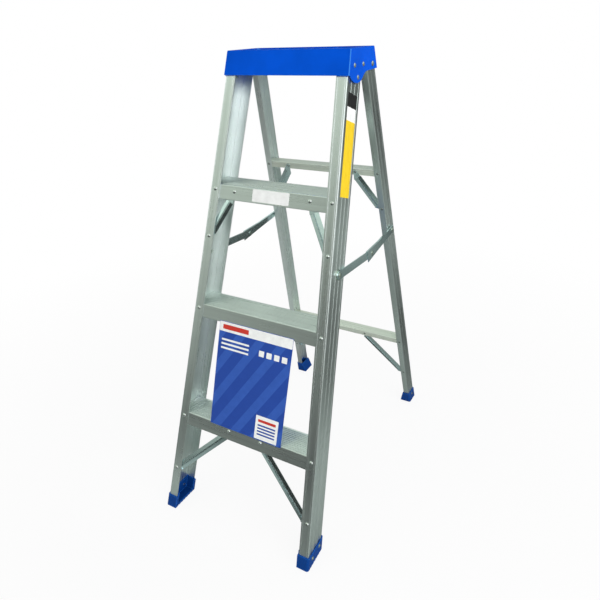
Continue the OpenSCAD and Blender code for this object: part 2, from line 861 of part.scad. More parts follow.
// The rear frame's pivots run along X through the cheeks, the plates and the rear rails
module pivot_rivets() {
    outside = cap_side_x(pivot_z, cheek_out) + pivot_d * slope;
    inside = rear_x(pivot_v) - rear_wall - pivot_d * slope - 2 * seat_gap;
    color(rivet_metal) both() translate([outside, pivot_y, pivot_z]) rotate([0, 90, 0])
        rivet(pivot_d, pivot_head, outside - inside);
}

// Feet: a boot with an outer band, a taller inner panel and a grooved sole
module boot(band, panel) {
    difference() {
        union() {
            intersection() {
                children(0);
                slab(0, band);
            }
            intersection() {
                children(1);
                slab(0, panel);
            }
        }
        intersection() {
            children(2);
            slab(sole, reach);
        }
        intersection() {
            children(3);
            slab(sole, reach);
        }
    }
}

// Outlines of a boot on a rail: the outside, the inner panel, the rail's seat and the open hollow
module boot_outside(web, flange, corner) {
    translate([-flange - foot_wall, -foot_out]) square([flange + foot_wall - corner, web + 2 * foot_out]);
    translate([-flange - foot_wall, corner]) square([flange + foot_wall + foot_out, web - 2 * corner]);
    for (y = [corner, web - corner]) {
        translate([-corner, y]) circle(corner + foot_out);
    }
}

module boot_panel(web, flange, wall) {
    translate([-flange - foot_wall, wall + seat_gap])
        square([flange + foot_wall - wall - seat_gap, web - 2 * wall - 2 * seat_gap]);
}

module boot_hollow(web, flange, wall, open) {
    skin = wall + seat_gap + foot_wall;
    inner = open ? flange + foot_wall + cut : flange;
    translate([-inner, skin]) square([inner - skin, web - 2 * skin]);
}

module sole_grooves(from, to, count) {
    for (k = [1:count]) {
        translate([0, from + k * (to - from) / (count + 1) - sole_groove / 2, -cut])
            cube([half_base + front_flange, sole_groove, cut + sole_groove_depth]);
    }
}

module front_foot() {
    difference() {
        boot(front_foot_band, front_foot_panel) {
            along_front_rail() boot_outside(front_web, front_flange, front_corner);
            along_front_rail() boot_panel(front_web, front_flange, front_wall);
            along_front_rail() channel(front_web, front_flange, front_wall, front_corner, seat_gap);
            along_front_rail() boot_hollow(front_web, front_flange, front_wall, true);
        }
        on_front_web(front_foot_holes) hole(rivet_d, 4 * foot_wall);
        sole_grooves(front_y, front_y + front_web, 6);
    }
}

// The rear boot's inner side slants inwards towards the sole
module rear_foot() {
    inner = rear_half_base - rear_flange - foot_wall;
    difference() {
        boot(rear_foot_band, rear_foot_band) {
            intersection() {
                along_rear_rail() boot_outside(rear_web, rear_flange + rear_foot_flare, rear_corner);
                along_y(-reach, reach) polygon([
                    [inner - rear_foot_flare, 0], [inner - slope * rear_foot_band, rear_foot_band],
                    [reach, rear_foot_band], [reach, 0]
                ]);
            }
            along_rear_rail() boot_panel(rear_web, rear_flange, rear_wall);
            along_rear_rail() channel(rear_web, rear_flange, rear_wall, rear_corner, seat_gap);
            along_rear_rail() boot_hollow(rear_web, rear_flange, rear_wall, false);
        }
        on_rear_web(rear_foot_holes) hole(rivet_d, 4 * foot_wall);
        sole_grooves(rear_y, rear_y + rear_web, 4);
    }
}

module front_foot_right() {
    color(dark_blue) front_foot();
}

module front_foot_left() {
    color(dark_blue) left() front_foot();
}

module rear_foot_right() {
    color(dark_blue) rear_foot();
}

module rear_foot_left() {
    color(dark_blue) left() rear_foot();
}

module front_foot_rivets() {
    grip = 2 * foot_out + front_wall + seat_gap / 2;
    color(rivet_metal) both() on_front_web(front_foot_holes) translate([0, 0, foot_out])
        rivet(rivet_d, rivet_head, grip);
}

module rear_foot_rivets() {
    grip = 2 * foot_out + rear_wall + seat_gap / 2;
    color(rivet_metal) both() on_rear_web(rear_foot_holes) translate([0, 0, foot_out])
        rivet(rivet_d, rivet_head, grip);
}

// Rear frame
function rear_flange_x(v) = rear_x(v) - rear_flange / 2;
bar_rivet_drop = bar_skirt / 2;
upper_bar_hole = [upper_brace_bar, upper_bar_v - bar_rivet_drop];
lower_bar_hole = [lower_brace_bar, lower_bar_v - bar_rivet_drop];
upper_rear_v = upper_bar_hole[1] - upper_brace_rail;
lower_rear_v = lower_bar_hole[1] - lower_brace_rail;
upper_rear_hole = [rear_flange_x(upper_rear_v), upper_rear_v];
lower_rear_hole = [rear_flange_x(lower_rear_v), lower_rear_v];

module rear_rail() {
    difference() {
        intersection() {
            along_rear_rail() rear_section();
            slab(sole, reach);
            union() {
                translate([0, pivot_y, pivot_z]) rotate([0, 90, 0]) cylinder(d = rear_web, h = reach);
                rear_frame() translate([0, -rear_web, -reach]) cube([reach, 3 * rear_web, reach + pivot_v]);
            }
        }
        rear_frame() {
            for (v = [upper_bar_v - bar_rivet_drop, lower_bar_v - bar_rivet_drop]) {
                front_face(rear_flange_x(v), 0, v) hole(small_rivet_d, 2 * rear_wall);
                rear_face(rear_flange_x(v), rear_web, v - bar_fall) hole(small_rivet_d, 2 * rear_wall);
            }
            for (p = [upper_rear_hole, lower_rear_hole]) {
                front_face(p[0], 0, p[1]) hole(small_rivet_d, 2 * rear_wall);
            }
        }
        on_rear_web(rear_foot_holes) hole(rivet_d, 3 * rear_wall);
        translate([0, pivot_y, pivot_z]) rotate([0, 90, 0]) cylinder(d = pivot_d + 2 * run_gap, h = reach);
    }
}

module rear_rail_right() {
    color(alu) rear_rail();
}

module rear_rail_left() {
    color(alu) left() rear_rail();
}

module rear_bar(v, brace_hole) {
    inner = rear_wall / cos(rear_splay) + seat_gap;
    low = v - bar_skirt - bar_fall;
    high = v + bar_skirt;
    color(alu) rear_frame() difference() {
        intersection() {
            tread(bar_u0, bar_u1, v, -rear_lean, bar_skirt, bar_wall, bar_nose);
            along_y(0, rear_web) polygon([
                [rear_x(low) - inner, low], [rear_x(high) - inner, high],
                [inner - rear_x(high), high], [inner - rear_x(low), low]
            ]);
        }
        both() {
            front_face(rear_flange_x(v - bar_rivet_drop), bar_u0, v - bar_rivet_drop)
                hole(small_rivet_d, 2 * bar_wall);
            rear_face(rear_flange_x(v - bar_rivet_drop), bar_u1, v - bar_rivet_drop - bar_fall)
                hole(small_rivet_d, 2 * bar_wall);
            front_face(brace_hole[0], bar_u0, brace_hole[1]) hole(small_rivet_d, 2 * bar_wall);
        }
    }
}

module rear_bar_upper() {
    rear_bar(upper_bar_v, upper_bar_hole);
}

module rear_bar_lower() {
    rear_bar(lower_bar_v, lower_bar_hole);
}

module rear_bar_rivets() {
    grip = rear_wall + seat_gap + bar_wall;
    color(rivet_metal) both() rear_frame() for (top = [upper_bar_v, lower_bar_v]) {
        v = top - bar_rivet_drop;
        front_face(rear_flange_x(v), 0, v) rivet(small_rivet_d, small_rivet_head, grip);
        rear_face(rear_flange_x(v), rear_web, v - bar_fall) rivet(small_rivet_d, small_rivet_head, grip);
    }
}

// The upper rear braces lie on the bar's face, the lower ones behind the bar's skirt
upper_tab = 17;
upper_depth = bar_u0 - brace_wall - tab_gap;
behind_bar = bar_u0 + bar_wall + tab_gap;
behind_rear_flange = rear_wall + 2 * tab_gap;
upper_run = upper_rear_hole - upper_bar_hole;
lower_run = lower_rear_hole - lower_bar_hole;
upper_ends = brace_ends(upper_run, [upper_depth, behind_rear_flange],
    [lap(upper_run, 1, bar_skirt - bar_rivet_drop, rear_lift), lap(upper_run, 0, rear_flange / 2, rear_lift)]);
lower_ends = brace_ends(lower_run, [behind_bar, behind_rear_flange],
    [lap(lower_run, 1, bar_skirt - bar_rivet_drop, rear_lift), 0]);

module upper_rear_brace() {
    rear_frame() brace(upper_bar_hole, upper_run, upper_ends, upper_tab, front_tab, small_rivet_d, rear_lift);
}

module lower_rear_brace() {
    rear_frame() brace(lower_bar_hole, lower_run, lower_ends, front_tab, front_tab, small_rivet_d, rear_lift);
}

module upper_rear_brace_right() {
    color(zinc) upper_rear_brace();
}

module upper_rear_brace_left() {
    color(zinc) left() upper_rear_brace();
}

module lower_rear_brace_right() {
    color(zinc) lower_rear_brace();
}

module lower_rear_brace_left() {
    color(zinc) left() lower_rear_brace();
}

module upper_rear_brace_rivets() {
    leaf = brace_wall + 2 * tab_gap;
    seat = upper_ends[0] - 2 * tab_gap;
    color(rivet_metal) both() rear_frame() {
        front_face(upper_bar_hole[0], seat, upper_bar_hole[1])
            rivet(small_rivet_d, small_rivet_head, bar_u0 + bar_wall + tab_gap - seat);
        front_face(upper_rear_hole[0], 0, upper_rear_hole[1])
            rivet(small_rivet_d, small_rivet_head, upper_ends[1] + leaf);
    }
}

module lower_rear_brace_rivets() {
    leaf = brace_wall + 2 * tab_gap;
    color(rivet_metal) both() rear_frame() {
        front_face(lower_bar_hole[0], bar_u0, lower_bar_hole[1])
            rivet(small_rivet_d, small_rivet_head, lower_ends[0] + leaf - bar_u0);
        front_face(lower_rear_hole[0], 0, lower_rear_hole[1])
            rivet(small_rivet_d, small_rivet_head, lower_ends[1] + leaf);
    }
}

// Spreaders: a flat front arm, and a rear arm whose stop flange rests on the front arm when locked
module front_arm() {
    side_plane(arm_n) translate(spreader_f) rotate(front_arm_angle) linear_extrude(arm_wall) difference() {
        stadium(front_arm, arm_width);
        circle(d = spreader_pivot_d + 2 * run_gap);
        translate([front_arm, 0]) circle(d = spreader_pivot_d + 2 * run_gap);
    }
}

module rear_arm() {
    far = rear_arm + arm_end;
    side_plane() translate(spreader_j) rotate(rear_arm_angle) difference() {
        union() {
            translate([0, 0, plate_in]) linear_extrude(plate_wall) polygon([
                [-stop_tail, stop_top], [waist, waist_top], [far, rear_end], [far, -rear_end],
                [waist, -waist_low], [-stop_tail, -stop_low]
            ]);
            translate([0, 0, flange_in]) linear_extrude(plate_out - flange_in) polygon([
                [-stop_tail, stop_top], [waist, waist_top], [far, rear_end], [far, rear_end - plate_wall],
                [waist, waist_top - plate_wall], [-stop_tail, stop_top - plate_wall]
            ]);
        }
        hole(spreader_pivot_d, 2 * plate_out);
        translate([rear_arm, 0, 0]) hole(spreader_pivot_d, 2 * plate_out);
    }
}

module spreader_front_arm_right() {
    color(zinc) front_arm();
}

module spreader_front_arm_left() {
    color(zinc) left() front_arm();
}

module spreader_rear_arm_right() {
    color(zinc) rear_arm();
}

module spreader_rear_arm_left() {
    color(zinc) left() rear_arm();
}

module joint_rivet() {
    side_plane(plate_out) translate(spreader_j)
        rivet(spreader_pivot_d, 2 * spreader_pivot_d, plate_out - arm_n + seat_gap);
}

module spreader_joint_rivet_right() {
    color(rivet_metal) joint_rivet();
}

module spreader_joint_rivet_left() {
    color(rivet_metal) left() joint_rivet();
}

// The rear pivot's rivet and its collar ride on the rear arm, just clear of the rail
module rear_rivet() {
    collar_in = 0.25;
    side_plane(plate_out) translate(spreader_r) {
        rivet(spreader_pivot_d, 2 * spreader_pivot_d, plate_out - plate_in);
        translate([0, 0, collar_in - plate_out])
            cylinder(d = 2 * spreader_pivot_d, h = plate_in - collar_in);
    }
}

module spreader_rear_rivet_right() {
    color(rivet_metal) rear_rivet();
}

module spreader_rear_rivet_left() {
    color(rivet_metal) left() rear_rivet();
}

washer_low = -toe((front_web - washer_d) / 2) + tab_gap;

module spreader_front_rivets() {
    color(rivet_metal) both() side_plane(arm_n + arm_wall + seat_gap) translate(spreader_f)
        rivet(spreader_pivot_d, 2 * spreader_pivot_d,
            arm_n + arm_wall + 2 * seat_gap + toe(front_web / 2) + front_wall);
}

module spreader_washers() {
    color(zinc) both() side_plane(washer_low) translate(spreader_f) difference() {
        cylinder(d = washer_d, h = arm_n - washer_low - tab_gap);
        hole(spreader_pivot_d, 2 * arm_n);
    }
}

// Card in front of the two lower steps' skirts
module info_card() {
    v = (step_v(0) + step_v(1) - step_skirt) / 2;
    color(card_blue) front_frame()
        translate([-card_width / 2, step_u0 - tab_gap - card_wall, v - card_height / 2])
        cube([card_width, card_wall, card_height]);
}

front_rail_left();
front_rail_right();
step_bottom();
step_middle();
step_top();
top_cap();
hinge_plate_left();
hinge_plate_right();
front_foot_left();
front_foot_right();
bottom_step_brace_left();
bottom_step_brace_right();
top_step_brace_left();
top_step_brace_right();
step_rivets_bottom();
step_rivets_middle();
step_rivets_top();
bottom_brace_rivets();
top_brace_rivets();
cap_rivets();
pivot_rivets();
front_foot_rivets();
spreader_front_rivets();
spreader_washers();
info_card();
rear_rail_left();
rear_rail_right();
rear_bar_upper();
rear_bar_lower();
upper_rear_brace_left();
upper_rear_brace_right();
lower_rear_brace_left();
lower_rear_brace_right();
rear_foot_left();
rear_foot_right();
rear_bar_rivets();
upper_rear_brace_rivets();
lower_rear_brace_rivets();
rear_foot_rivets();
spreader_front_arm_left();
spreader_front_arm_right();
spreader_rear_arm_left();
spreader_rear_arm_right();
spreader_joint_rivet_left();
spreader_joint_rivet_right();
spreader_rear_rivet_left();
spreader_rear_rivet_right();
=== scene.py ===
"""Looks of a folding step ladder.

Finishes for its metal and plastic, a printed card, bare labels and a studio.
"""

import math

import bmesh
import bpy
from bpy.props import FloatProperty, FloatVectorProperty, PointerProperty
from mathutils import Euler, Matrix, Vector


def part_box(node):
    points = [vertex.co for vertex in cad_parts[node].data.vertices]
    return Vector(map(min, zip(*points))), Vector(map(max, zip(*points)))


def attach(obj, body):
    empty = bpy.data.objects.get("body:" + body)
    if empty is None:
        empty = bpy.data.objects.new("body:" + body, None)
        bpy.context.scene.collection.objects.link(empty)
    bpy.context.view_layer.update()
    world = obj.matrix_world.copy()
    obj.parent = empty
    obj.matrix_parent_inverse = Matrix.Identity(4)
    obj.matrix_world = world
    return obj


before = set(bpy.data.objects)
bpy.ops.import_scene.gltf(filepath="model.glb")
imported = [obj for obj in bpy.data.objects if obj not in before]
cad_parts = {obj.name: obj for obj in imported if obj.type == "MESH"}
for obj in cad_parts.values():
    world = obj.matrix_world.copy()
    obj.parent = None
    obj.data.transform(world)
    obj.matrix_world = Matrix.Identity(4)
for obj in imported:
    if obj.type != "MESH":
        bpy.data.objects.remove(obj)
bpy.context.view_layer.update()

bl_info = {
    "name": "Step ladder looks",
    "version": (1, 0, 0),
    "blender": (4, 5, 0),
    "location": "View3D > Sidebar > Ladder",
    "description": "Finishes, labels, card and studio for a folding step ladder",
    "category": "Object",
}

MM = 0.001
WHITE = (1, 1, 1, 1)

# Nodes by finish; the rails come with their side of the ladder
FRONT_RAILS = {"front_rail_left": -1, "front_rail_right": 1}
REAR_RAILS = {"rear_rail_left": -1, "rear_rail_right": 1}
STEPS = ("step_bottom", "step_middle", "step_top")
BARS = ("rear_bar_upper", "rear_bar_lower")
STEEL = (
    "bottom_step_brace_left", "bottom_step_brace_right",
    "top_step_brace_left", "top_step_brace_right",
    "upper_rear_brace_left", "upper_rear_brace_right",
    "lower_rear_brace_left", "lower_rear_brace_right",
    "spreader_front_arm_left", "spreader_front_arm_right",
    "spreader_rear_arm_left", "spreader_rear_arm_right",
    "hinge_plate_left", "hinge_plate_right",
)
STEP_RIVETS = (
    "step_rivets_bottom", "step_rivets_middle", "step_rivets_top",
    "bottom_brace_rivets", "top_brace_rivets",
)
RIVETS = (
    "cap_rivets", "pivot_rivets", "front_foot_rivets",
    "spreader_front_rivets", "spreader_washers",
    "spreader_joint_rivet_left", "spreader_joint_rivet_right",
    "spreader_rear_rivet_left", "spreader_rear_rivet_right",
)
DULL_RIVETS = (
    "rear_bar_rivets", "upper_rear_brace_rivets", "lower_rear_brace_rivets", "rear_foot_rivets",
)
FEET = ("front_foot_left", "front_foot_right", "rear_foot_left", "rear_foot_right")

# Share of bare metal in each finish, the rest diffuse; set per part for how light or dark it comes
# out, and the two rear rails differ only as painted light and shade
FRONT_RAIL_METAL = 0.95
REAR_RAIL_METAL = {"rear_rail_left": 0.76, "rear_rail_right": 0.95}
STEP_METAL = 0.92
BAR_METAL = 0.5
RIVET_METAL = 0.97

# Tone of the steps against the rails
STEP_TONE = 0.92

# Stretch of the aluminium's noise across and along the drawn lines
DRAWN_LINES = (420, 420, 2.2)
DRAWN_BANDS = (70, 70, 1.2)
HANDLING_MARKS = (30, 30, 60)

# Turn and stretch of the scuffs on plastic
SCUFF_TURN = (0.4, 0.2, 0.7)
SCUFF_STRETCH = (260, 18, 40)

# Parts of a noise's range that are spread out
MIDDLE = (0.3, 0.7)
UPPER = (0.35, 0.7)
WIDE_UPPER = (0.35, 0.75)
PEAKS = (0.62, 0.75)
HIGH_PEAKS = (0.66, 0.8)

# Edges: how far the normal turns on a paler edge (partly wear, partly painted highlight) and at a
# corner with a painted highlight, and how round they look
EDGE_MASK_TURN = (0.02, 0.3)
CORNER_HIGHLIGHT_TURN = (0.22, 0.4)
EDGE_SAMPLES = 4
SHARP_EDGE = 0.3 * MM
SOFT_EDGE = 2 * MM

# Shine of paper
PAPER_GLOSS = 0.2

# Card: its stripes, its inks and its margin
STRIPE_SLANT = math.radians(35)
STRIPE_PACE = 130.0
STRIPE_EDGE = (0.1, 0.25)
INK_ROUGH = 0.35
INK_FILM = 0.05 * MM
INK_CORNER = 1.5 * MM
CARD_MARGIN = 1 * MM

# Plain shapes on the card in millimetres: ink, layer, width (None is the card's), height,
# middle across, edge that the next is taken from, middle away from that edge, how many,
# and the steps to the next one across and away from the edge
CARD_SHAPES = (
    ("white", 0, None, 25, 0, "top", 13, 1, 0, 0),
    ("red", 1, 78, 12, -58, "top", 13, 1, 0, 0),
    ("white", 0, 66, 62, 62, "bottom", 34, 1, 0, 0),
    ("red", 1, 52, 7, 62, "bottom", 52, 1, 0, 0),
    ("blue", 1, 52, 4, 62, "bottom", 40, 4, 0, -8),
    ("white", 0, 84, 5, -56, "top", 46, 3, 0, 11),
    ("white", 0, 15, 15, 24, "top", 57, 4, 22, 0),
)

# Labels: gap under a film, corner, height over the rail's web and slope into its grooves
FILM_GAP = 0.02 * MM
LABEL_CORNER = 2 * MM
LABEL_LIFT = 0.03 * MM
GROOVE_EASE = 0.8 * MM

# Camera's sensor in millimetres; name, place, aim and width of each lamp in metres
SENSOR_WIDTH = 36
LAMPS = (
    ("key", (-1.5, -1.7, 2.7), (0, -0.1, 0.8), 1.6),
    ("fill", (2.6, -1.2, 1.3), (0, 0, 0.5), 3.2),
    ("rim", (0.8, 2.4, 2.2), (0, 0, 0.7), 1.6),
)

# Floor: size, drop below the feet, tones, and its glow for the camera by distance
FLOOR_SIZE = 40
FLOOR_DROP = 0.5 * MM
FLOOR_TONES = (0.8, 0.84)
GLOW_REACH, GLOW_SHARE = (0.7, 2.0), (0.9, 1.0)

# Mirrored floor, in metres to the right (across) and to the back (along), with its levels
NEAR_ACROSS = (-0.75, -0.2)
FAR_LEFT_ACROSS, FAR_LEFT_LEVEL = (-4.0, -2.2), (0.4, 0.0)
BAND_RISE_ALONG = (-0.95, -0.7)
BAND_FALL_ALONG, BAND_FALL_LEVEL = (-0.5, -0.35), (1.0, 0.65)
BAND_ACROSS, BAND_LEVEL = (-0.12, 0.05), (0.34, 0.1)
CLIMB_ALONG = (-0.3, 0.9)
# Painted shadow of the ladder on the mirrored floor: its middle, reach and levels
LADDER_SHADOW_MIDDLE = (-0.12, 0.5, 0)
LADDER_SHADOW_REACH, LADDER_SHADOW_LEVEL = (0.22, 0.42), (0.12, 1.0)
RIGHT_ACROSS = (0.15, 0.3)
RIGHT_ALONG, RIGHT_LEVEL = (-2.2, -0.9), (0.045, 0.325)
RIGHT_STEPS = (
    ((0.0, 0.4), -0.225), ((1.1, 2.2), 0.43), ((2.9, 3.6), -0.35), ((4.5, 6.5), -0.15),
)
SLANT_START = (0.5, 1.0)
SLANT_NEAREST = 1.0
SLANT_SPAN, SLANT_LEVEL = (0.49, 0.57), (0.08, 1.0)

# Mirrored walls, by the direction's parts to the right (side), to the back and up, with levels
BEHIND_BACK = (-0.3, 0.5)
FRONT_UP = (0.0, 0.5)
BACK_UP = (0.47, 0.58)
DUSK_SIDE = (0.25, 0.4)
DUSK_BACK, DUSK_DEPTH = (0.5, 0.8), (0.0, 0.9)
GLOOM_WAY = (-0.2, -0.976, 0.085)
GLOOM_REACH, GLOOM_LEVEL = (0.92, 0.985), (1.0, 0.02)
LEFT_SIDE, LEFT_LEVEL = (-0.85, -0.68), (0.45, 0.0)
PANE_SIDE = (0.2, 0.4)
PANE_BACK = (-0.5, -0.2)
PANE_UP, PANE_LEVEL = (-0.05, 0.35), (0.45, 1.0)


# Properties
def colour(name, text, value):
    """A colour property."""
    return FloatVectorProperty(name=name, description=text, default=value, size=3, min=0, max=1,
        subtype="COLOR")


def size(name, text, value):
    """A length property, given in millimetres and kept in metres."""
    return FloatProperty(name=name, description=text, default=value * MM, unit="LENGTH",
        precision=4)


def angle(name, text, value):
    """An angle property, given in degrees."""
    return FloatProperty(name=name, description=text, default=math.radians(value),
        subtype="ANGLE")


def lamp_power(name, text, value):
    """A lamp's power property in watts."""
    return FloatProperty(name=name, description=text, default=value, unit="POWER")


def light_level(name, text, value):
    """A light level property, where 1 is white."""
    return FloatProperty(name=name, description=text, default=value)


class LADDER_PG_colours(bpy.types.PropertyGroup):
    """Colours of the finishes"""

    aluminium: colour("Aluminium", "Rails and steps", (0.85, 0.925, 0.89))
    bar: colour("Bars", "Bars of the rear frame", (0.76, 0.82, 0.71))
    steel: colour("Galvanised steel", "Braces and spreaders", (0.76, 0.9, 0.91))
    rivet: colour("Rivets", "Rivet heads", (0.64, 0.72, 0.64))
    step_rivet: colour("Step rivets", "Rivet heads of the steps and their braces",
        (0.66, 0.7, 0.67))
    dull_rivet: colour("Dull rivets", "Rivet heads of the rear frame", (0.4, 0.44, 0.41))
    cap: colour("Cap", "Moulded cap", (0.002, 0.085, 0.62))
    # Paler edges and corners of the cap: painted highlight, partly wear
    cap_edge: colour("Cap edges", "Worn edges of the cap", (0.062, 0.285, 0.734))
    foot: colour("Feet", "Moulded feet", (0.003, 0.044, 0.225))
    # Paler edges of the feet: painted highlight along the rims, partly wear
    foot_edge: colour("Foot edges", "Worn edges of the feet", (0.03, 0.2, 0.8))
    card_field: colour("Card field", "Main colour of the card", (0.02, 0.07, 0.36))
    card_stripe: colour("Card stripes", "Lighter stripes of the card", (0.035, 0.11, 0.46))
    paper: colour("Paper", "White of the card and labels", (0.88, 0.9, 0.88))
    accent: colour("Accent", "Accent on the card", (0.6, 0.045, 0.03))
    yellow: colour("Yellow", "Main panel of the rail label", (0.86, 0.6, 0.02))
    black: colour("Black", "Top panel of the rail label", (0.02, 0.02, 0.02))


class LADDER_PG_sizes(bpy.types.PropertyGroup):
    """Sizes and places of the labels and the card"""

    front_face: size("Front face", "Front rails' face on the floor, front to back", -397.71)
    half_base: size("Half base", "Half the width over the front rails at the floor", 226)
    front_lean: angle("Front lean", "Lean of the front frame", 18.5)
    front_splay: angle("Front splay", "Splay of each front rail", 3.365)
    rear_lean: angle("Rear lean", "Lean of the rear frame", 14.4)
    rear_splay: angle("Rear splay", "Splay of each rear rail", 3.437)
    skirt_depth: size("Skirt depth", "Steps' skirts behind the rails' face", 2.2)
    label_film: size("Label film", "Thickness of the labels", 0.12)
    label_low: size("Label low", "Lower edge of the rail label along the rail", 906)
    label_high: size("Label high", "Upper edge of the rail label along the rail", 1126)
    label_white: size("Label white", "Lower edge of the label's white panel along the rail", 1069)
    label_black: size("Label black", "Lower edge of the label's black panel along the rail", 1097)
    label_front: size("Label front", "Front edge of the rail label across the web", 12)
    label_rear: size("Label rear", "Rear edge of the rail label across the web", 58)
    web_band: size("Web band", "Plain band along the web's edges", 9)
    web_rib: size("Web rib", "Width of the web's ribs", 5)
    web_groove: size("Web groove", "Width of the web's grooves", 14)
    groove_depth: size("Groove depth", "Depth of the web's grooves", 0.7)
    step_label_half: size("Step label half", "Half the width of the step label", 50.5)
    step_label_low: size("Step label low", "Lower edge of the step label along the frame", 870)
    step_label_high: size("Step label high", "Upper edge of the step label along the frame", 899)
    card_face: size("Card face", "Card's face behind the rails' face", 1.55)


class LADDER_PG_studio(bpy.types.PropertyGroup):
    """Camera and light"""

    camera_place: FloatVectorProperty(name="Camera place", description="Place of the camera",
        default=(0.66964, -1.13134, 1.18556), size=3, subtype="TRANSLATION", unit="LENGTH")
    camera_yaw: angle("Yaw", "Turn of the camera to the left of straight ahead", 30.57)
    camera_pitch: angle("Pitch", "Tilt of the camera below the horizon", 27.59)
    camera_roll: angle("Roll", "Roll of the camera", -2.3)
    camera_lens: FloatProperty(name="Lens", description="Focal length in millimetres",
        default=31.88, unit="CAMERA")
    camera_shift: FloatVectorProperty(name="Shift", description="Shift of the frame",
        default=(-0.0006, 0.0098), size=2)
    key_power: lamp_power("Key", "Power of the main lamp", 4.5)
    fill_power: lamp_power("Fill", "Power of the fill lamp", 54)
    rim_power: lamp_power("Rim", "Power of the rim lamp", 4)
    ambient: light_level("Ambient", "Level of the light all round", 0.7)
    front_low: light_level("Front low", "Mirrored level in front, at the horizon", 0.28)
    front_high: light_level("Front high", "Mirrored level in front, overhead", 0.78)
    back: light_level("Back", "Mirrored level of the backdrop", 0.43)
    back_high: light_level("Back high", "Mirrored level of the backdrop, overhead", 1.0)
    window: light_level("Window", "Mirrored level of the window on the right", 1.2)
    front_cast: colour("Front cast", "Mirrored colour of the wall in front", (0.9, 1.0, 0.885))
    wall_cast: colour("Wall cast", "Mirrored colour of the walls behind and the floor",
        (0.87, 1.0, 0.94))
    window_cast: colour("Window cast", "Mirrored colour of the window", (0.95, 0.93, 1.0))
    floor_near: light_level("Floor near", "Mirrored level of the floor in front", 0.035)
    floor_left: light_level("Floor left", "Mirrored level of the floor front left", 0.055)
    floor_far: light_level("Floor far", "Mirrored level of the floor behind", 0.63)


class LADDER_PG_settings(bpy.types.PropertyGroup):
    """All settings of the ladder's looks"""

    colours: PointerProperty(type=LADDER_PG_colours)
    sizes: PointerProperty(type=LADDER_PG_sizes)
    studio: PointerProperty(type=LADDER_PG_studio)


# Node helpers
def new_finish(name):
    """A new material with a Principled shader. Returns the material, its tree and the shader."""
    material = bpy.data.materials.new(name)
    material.use_nodes = True
    tree = material.node_tree
    shader = next(n for n in tree.nodes if n.type == "BSDF_PRINCIPLED")
    return material, tree, shader


def add(tree, kind, links=(), **values):
    """A new node. Values are its own settings; links are (input, socket or number) pairs."""
    made = tree.nodes.new(kind)
    for key, value in values.items():
        setattr(made, key, value)
    for key, source in links:
        if isinstance(source, bpy.types.NodeSocket):
            tree.links.new(source, made.inputs[key])
        else:
            made.inputs[key].default_value = source
    return made


def rgba(value, gain=1.0):
    """A four-part colour."""
    return (*[min(1.0, v * gain) for v in value], 1.0)


def object_place(tree, turn=(0, 0, 0), stretch=(1, 1, 1)):
    """Object coordinates, turned and stretched."""
    here = add(tree, "ShaderNodeTexCoord").outputs["Object"]
    turned = add(tree, "ShaderNodeVectorRotate", [("Vector", here), ("Rotation", turn)],
        rotation_type="EULER_XYZ", invert=True)
    stretched = add(tree, "ShaderNodeVectorMath", [(0, turned.outputs[0]), (1, stretch)],
        operation="MULTIPLY")
    return stretched.outputs[0]


def noise(tree, here, scale=1.0, detail=3.0, rough=0.5):
    """Noise between 0 and 1."""
    return add(tree, "ShaderNodeTexNoise", [("Vector", here), ("Scale", scale),
        ("Detail", detail), ("Roughness", rough)]).outputs["Fac"]


def spread(tree, source, span, out=(0.0, 1.0)):
    """A value spread from one range to another, held at its ends."""
    return add(tree, "ShaderNodeMapRange", [("Value", source), ("From Min", span[0]),
        ("From Max", span[1]), ("To Min", out[0]), ("To Max", out[1])]).outputs[0]


def math_node(tree, operation, a, b=0.0):
    """One operation on values or sockets."""
    return add(tree, "ShaderNodeMath", [(0, a), (1, b)], operation=operation).outputs[0]


def plus(tree, first, *others):
    """Values or sockets added together."""
    for other in others:
        first = math_node(tree, "ADD", first, other)
    return first


def times(tree, first, *others):
    """Values or sockets multiplied together."""
    for other in others:
        first = math_node(tree, "MULTIPLY", first, other)
    return first


def between(tree, share, a, b):
    """A value that goes from a to b as the share goes from 0 to 1."""
    return plus(tree, a, times(tree, share, math_node(tree, "SUBTRACT", b, a)))


def mix(tree, share, a, b):
    """A colour that goes from a to b as the share goes from 0 to 1."""
    return add(tree, "ShaderNodeMix", [(0, share), (6, a), (7, b)], data_type="RGBA").outputs[2]


def edge_highlight_and_wear(tree, radius):
    """1 along sharp edges and 0 on the flats, from a rounded normal."""
    rounded = add(tree, "ShaderNodeBevel", [("Radius", radius)], samples=EDGE_SAMPLES).outputs[0]
    flat = add(tree, "ShaderNodeNewGeometry").outputs["True Normal"]
    alike = add(tree, "ShaderNodeVectorMath", [(0, rounded), (1, flat)], operation="DOT_PRODUCT")
    return spread(tree, math_node(tree, "SUBTRACT", 1.0, alike.outputs["Value"]), EDGE_MASK_TURN)


def bump(tree, shader, height, strength, distance, edge=SHARP_EDGE):
    """A bump on a shader's normal, over edges that look softly rounded."""
    soft = add(tree, "ShaderNodeBevel", [("Radius", edge)], samples=EDGE_SAMPLES).outputs[0]
    made = add(tree, "ShaderNodeBump", [("Height", height), ("Strength", strength),
        ("Distance", distance), ("Normal", soft)])
    tree.links.new(made.outputs[0], shader.inputs["Normal"])


def dress(names, material):
    """Puts a material on the slots of CAD nodes."""
    for name in names:
        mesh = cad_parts[name].data
        mesh.materials.clear()
        mesh.materials.append(material)


